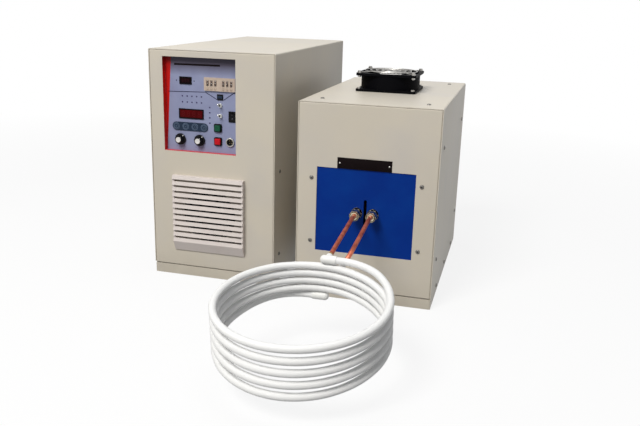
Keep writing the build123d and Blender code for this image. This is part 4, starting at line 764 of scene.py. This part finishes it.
# Terminals: union nuts with a cone, threads on the studs, and lock nuts over washers
TERMINAL_X, TERMINAL_HALF_PITCH, TERMINAL_Z = HEAD_LEFT + HEAD_WIDTH / 2, 15.9, 181.0
terminals = [Vector((TERMINAL_X + s * TERMINAL_HALF_PITCH, HEAD_FRONT, TERMINAL_Z)) for s in (-1, 1)]
UNION_CONE = [(7.3, 14.8), (9.2, 22.6), (8.6, 23.0), (4.35, 23.0), (4.35, 19.0)]
WASHER = [(11.0, -1.4), (11.0, 0.8), (10.9, 1.0), (7.4, 1.0)]
nuts, threads, washers = Shape(), Shape(), Shape()
for spot in terminals:
    nuts.nut(spot, FRONT, flats=19.0, start=8.0, length=15.0, chamfer=1.5, hole=7.2)
    nuts.lathe(UNION_CONE, spot, FRONT, 36)
    threads.thread(spot, FRONT, radius=7.08, start=1.0, length=7.0, pitch=1.5, depth=0.12)
    washers.lathe(WASHER, spot, FRONT, 40)
    washers.nut(spot, FRONT, flats=18.0, start=1.0, length=4.0, chamfer=0.8, hole=7.15)
nuts.make("union_nut_bodies", nickel, "brass_metal", smooth=True, replaces=("union_nuts",))
threads.make("stud_threads", nickel, "brass_metal", smooth=True)
washers.make("stud_lock_nuts", washer_steel, "brass_metal", smooth=True)

# Coil: the same droop and quarter turns as the CAD, in the coil's own measures
DROOP = math.radians(6.8)
COIL_ORIGIN = Vector((TERMINAL_X, HEAD_FRONT - 38.0, TERMINAL_Z))
COIL_FORWARD = Vector((0, -math.cos(DROOP), -math.sin(DROOP)))
COIL_UP = Vector((0, -math.sin(DROOP), math.cos(DROOP)))
REACH, RADIUS, OFFSET, TURNS = 181.0, 134.0, -21.9, 5
BACK_PITCH, FRONT_FIRST, FRONT_PITCH = 13.9, 5.9, 19.5
TOP_LEG, RETURN_LEG = -15.9, -27.0
STRAIGHT, BOOT_GRIP = 21.0, 8.0
ARC_STEPS, STRAIGHT_STEPS, SLEEVE_SEGMENTS = 14, 6, 24
SLEEVE_RADIUS = 6.12


def in_coil(x, out, rise=0.0):
    return COIL_ORIGIN + RIGHT * x + COIL_FORWARD * out + COIL_UP * rise


def coil_way(x, out, rise=0.0):
    return (RIGHT * x + COIL_FORWARD * out + COIL_UP * rise).normalized()


def arc_points(start, way, end, count):
    """Points on the arc that leaves start along way and reaches end."""
    chord = end - start
    side = chord - way * chord.dot(way)
    if side.length < 1e-6:
        return [start.lerp(end, i / count) for i in range(count)]
    side.normalize()
    radius = chord.length_squared / (2 * chord.dot(side))
    middle = start + side * radius
    total = 2 * math.atan2(chord.dot(side), chord.dot(way))
    angles = [total * i / count for i in range(count)]
    return [middle - side * radius * math.cos(angle) + way * radius * math.sin(angle) for angle in angles]


def biarc_points(start, start_way, end, end_way, count):
    """Points on two arcs that meet smoothly and keep the ways at both ends."""
    chord = end - start
    both = start_way + end_way
    turn = 2 * (1 - start_way.dot(end_way))
    along = chord.dot(both)
    reach = (math.sqrt(along * along + turn * chord.length_squared) - along) / turn
    joint = (start + end + (start_way - end_way) * reach) * 0.5
    joint_way = (end - end_way * reach - start - start_way * reach).normalized()
    return arc_points(start, start_way, joint, count) + arc_points(joint, joint_way, end, count)


def coil_points():
    """Middle line of the sleeve, from the top boot to the lower one."""
    quarter = RADIUS * math.pi / 2
    stops = [(TOP_LEG + STRAIGHT, REACH, 0.0)]
    ways = [(1, 0)]
    for turn in range(TURNS):
        start, front, end = -BACK_PITCH * turn, -FRONT_FIRST - FRONT_PITCH * turn, -BACK_PITCH * (turn + 1)
        last_x = RETURN_LEG - STRAIGHT if turn == TURNS - 1 else OFFSET
        stops += [(OFFSET + RADIUS, REACH + RADIUS, (start + front) / 2), (OFFSET, REACH + 2 * RADIUS, front),
                  (OFFSET - RADIUS, REACH + RADIUS, (front + end) / 2), (last_x, REACH, end)]
        ways += [(0, 1), (-1, 0), (0, -1), (1, 0)]
    inner = range(1, len(stops) - 1)
    slopes = [0.0, *((stops[i + 1][2] - stops[i - 1][2]) / (2 * quarter) for i in inner), 0.0]
    places = [in_coil(*stop) for stop in stops]
    headings = [coil_way(*way, slope) for way, slope in zip(ways, slopes)]
    first = in_coil(TOP_LEG + BOOT_GRIP, REACH)
    points = [first.lerp(places[0], i / STRAIGHT_STEPS) for i in range(STRAIGHT_STEPS)]
    for i in range(len(stops) - 1):
        points += biarc_points(places[i], headings[i], places[i + 1], headings[i + 1], ARC_STEPS)
    last = in_coil(RETURN_LEG - BOOT_GRIP, REACH, -BACK_PITCH * TURNS)
    return points + [places[-1].lerp(last, i / STRAIGHT_STEPS) for i in range(STRAIGHT_STEPS + 1)]


def sleeve_radius(i):
    """Slight unevenness of the pushed-on sleeve."""
    return SLEEVE_RADIUS + 0.07 * math.sin(i * 0.83) + 0.05 * math.sin(i * 0.31 + 1.0)


def coil_sleeve():
    """Sleeve whose UV runs along its length in metres and once round it."""
    points = coil_points()
    shape = Shape().tube(points, sleeve_radius, SLEEVE_SEGMENTS)
    lengths = [0.0]
    for a, b in zip(points, points[1:]):
        lengths.append(lengths[-1] + (b - a).length * MM)
    uv = [(length, k / SLEEVE_SEGMENTS) for length in lengths for k in range(SLEEVE_SEGMENTS)]
    shape.make("coil_sleeve_tube", white_sleeve, "white_sleeve", smooth=True, replaces=("coil_sleeve",),
               uv=uv)


coil_sleeve()

# Soldered ferrule round the top leg, just before its boot
ferrule = Shape().lathe([(4.05, 0.0), (4.7, 0.3), (4.7, 5.2), (4.05, 5.5)], in_coil(TOP_LEG, REACH - 19.5),
                        COIL_FORWARD)
ferrule.make("leg_ferrule", brass, "brass_metal", smooth=True)

# Rear connections: ridges on the spigots, threads and nuts on the studs, and the gland's nut
SPIGOT_HALF_PITCH, SPIGOT_Z, STUD_HALF_PITCH, STUD_Z = 30.0, 70.0, 40.0, 150.0
RIDGE_START, RIDGE_PITCH = 14.0, 5.0
GLAND_COLLAR = [(12.5, 19.5), (12.4, 20.4), (11.4, 20.95), (8.1, 21.0), (8.05, 12.0)]
ridges = Shape()
stud_places = []
for middle, back in ((POWER_LEFT + POWER_WIDTH / 2, POWER_BACK), (HEAD_LEFT + HEAD_WIDTH / 2, HEAD_BACK)):
    for s in (-1, 1):
        spot = Vector((middle + s * SPIGOT_HALF_PITCH, back, SPIGOT_Z))
        for start in (RIDGE_START + RIDGE_PITCH * k for k in range(3)):
            ridges.lathe([(5.0, start), (5.45, start + 0.4), (5.0, start + 3.2)], spot, BACKWARD)
        stud_places.append(Vector((middle + s * STUD_HALF_PITCH, back, STUD_Z)))
stud_places.append(Vector((POWER_LEFT + 208.0, POWER_BACK, 60.0)))
ridges.make("spigot_ridges", brass, "brass_metal", smooth=True)
stud_threads, stud_nuts = Shape(), Shape()
for spot in stud_places:
    stud_threads.thread(spot, BACKWARD, radius=4.05, start=10.0, length=19.8, pitch=1.25, depth=0.1)
    stud_nuts.nut(spot, BACKWARD, flats=13.0, start=10.3, length=6.5, chamfer=0.9, hole=4.1)
stud_threads.make("cable_stud_threads", brass, "brass_metal", smooth=True)
stud_nuts.make("cable_stud_nuts", brass, "brass_metal", smooth=True)
spot = Vector((POWER_LEFT + 60.0, POWER_BACK, 110.0))
gland = Shape().nut(spot, BACKWARD, flats=30.0, start=14.0, length=6.0, chamfer=1.5, hole=12.6)
gland.lathe(GLAND_COLLAR, spot, BACKWARD, 40)
gland.make("gland_nut", polyamide, "gland_plastic", smooth=True)

# Plain disc on the fan's hub
FAN_MIDDLE = (HEAD_LEFT + 130.0, HEAD_FRONT + 258.0, HEAD_TOP)
hub = Shape().lathe([(24.0, 33.55), (23.8, 33.7), (0, 33.72)], FAN_MIDDLE, UP, 40)
hub.make("fan_hub_disc", cap_metal, "black_plastic", body="top_fan_rotor_body", smooth=True)

# Floor, in metres: pale where it is seen, whiter with the distance, and darker for the light it sends back
FLOOR_HALF, FLOOR_LEVEL = 12.0, -0.0005
SEEN_GREY, BOUNCE_GREY = (0.82, 0.82, 0.82, 1), (0.35, 0.35, 0.35, 1)
floor_corners = [(x * FLOOR_HALF, y * FLOOR_HALF, FLOOR_LEVEL)
                 for x, y in ((-1, -1), (1, -1), (1, 1), (-1, 1))]
floor_mesh = bpy.data.meshes.new("floor")
floor_mesh.from_pydata(floor_corners, [], [(0, 1, 2, 3)])
floor = bpy.data.objects.new("floor", floor_mesh)
bpy.context.scene.collection.objects.link(floor)
floor_material = bpy.data.materials.new("floor")
ground = Nodes(floor_material, empty=True)
seen = ground.rays("Camera", "Glossy", "Transmission")
away = ground.node("ShaderNodeVectorMath")
away.operation = "LENGTH"
ground.feed(ground.node("ShaderNodeTexCoord").outputs["Object"], away.inputs[0])
whiter = ground.node("ShaderNodeMapRange", Value=away.outputs["Value"], From_Min=0.9, From_Max=2.2,
                     To_Min=0.85, To_Max=1.0)
diffuse = ground.node("ShaderNodeBsdfDiffuse", Color=ground.mix(seen, BOUNCE_GREY, SEEN_GREY))
glow = ground.node("ShaderNodeEmission", Color=WHITE, Strength=1.0)
ground.output("ShaderNodeOutputMaterial", ground.math("MULTIPLY", seen, whiter.outputs["Result"]),
              diffuse.outputs["BSDF"], glow.outputs["Emission"])
floor.data.materials.append(floor_material)

# World: white where it is seen, a plain grey light elsewhere
world = bpy.data.worlds.new("world")
bpy.context.scene.world = world
sky = Nodes(world, empty=True)
ambient = sky.node("ShaderNodeBackground", Color=(0.95, 0.97, 1.0, 1), Strength=0.28)
white = sky.node("ShaderNodeBackground", Color=WHITE, Strength=1.0)
sky.output("ShaderNodeOutputWorld", sky.rays("Camera", "Glossy"), ambient.outputs["Background"],
           white.outputs["Background"])


LAMP_AIM = Vector((0.15, -0.1, 0.25))


def lamp_at(name, place, size, power, color):
    """Square lamp turned to the object's middle; lengths are in metres."""
    data = bpy.data.lights.new(name, "AREA")
    data.shape = "SQUARE"
    data.size = size
    data.energy = power
    data.color = color
    item = bpy.data.objects.new(name, data)
    item.location = place
    item.rotation_euler = (LAMP_AIM - Vector(place)).to_track_quat("-Z", "Y").to_euler()
    bpy.context.scene.collection.objects.link(item)


lamp_at("key", (-0.7, -2.9, 3.2), size=1.5, power=142, color=(1.0, 0.985, 0.955))
lamp_at("top", (0.25, 0.0, 3.0), size=1.6, power=19, color=(0.96, 0.98, 1.0))

bpy.context.scene.view_settings.view_transform = "Standard"
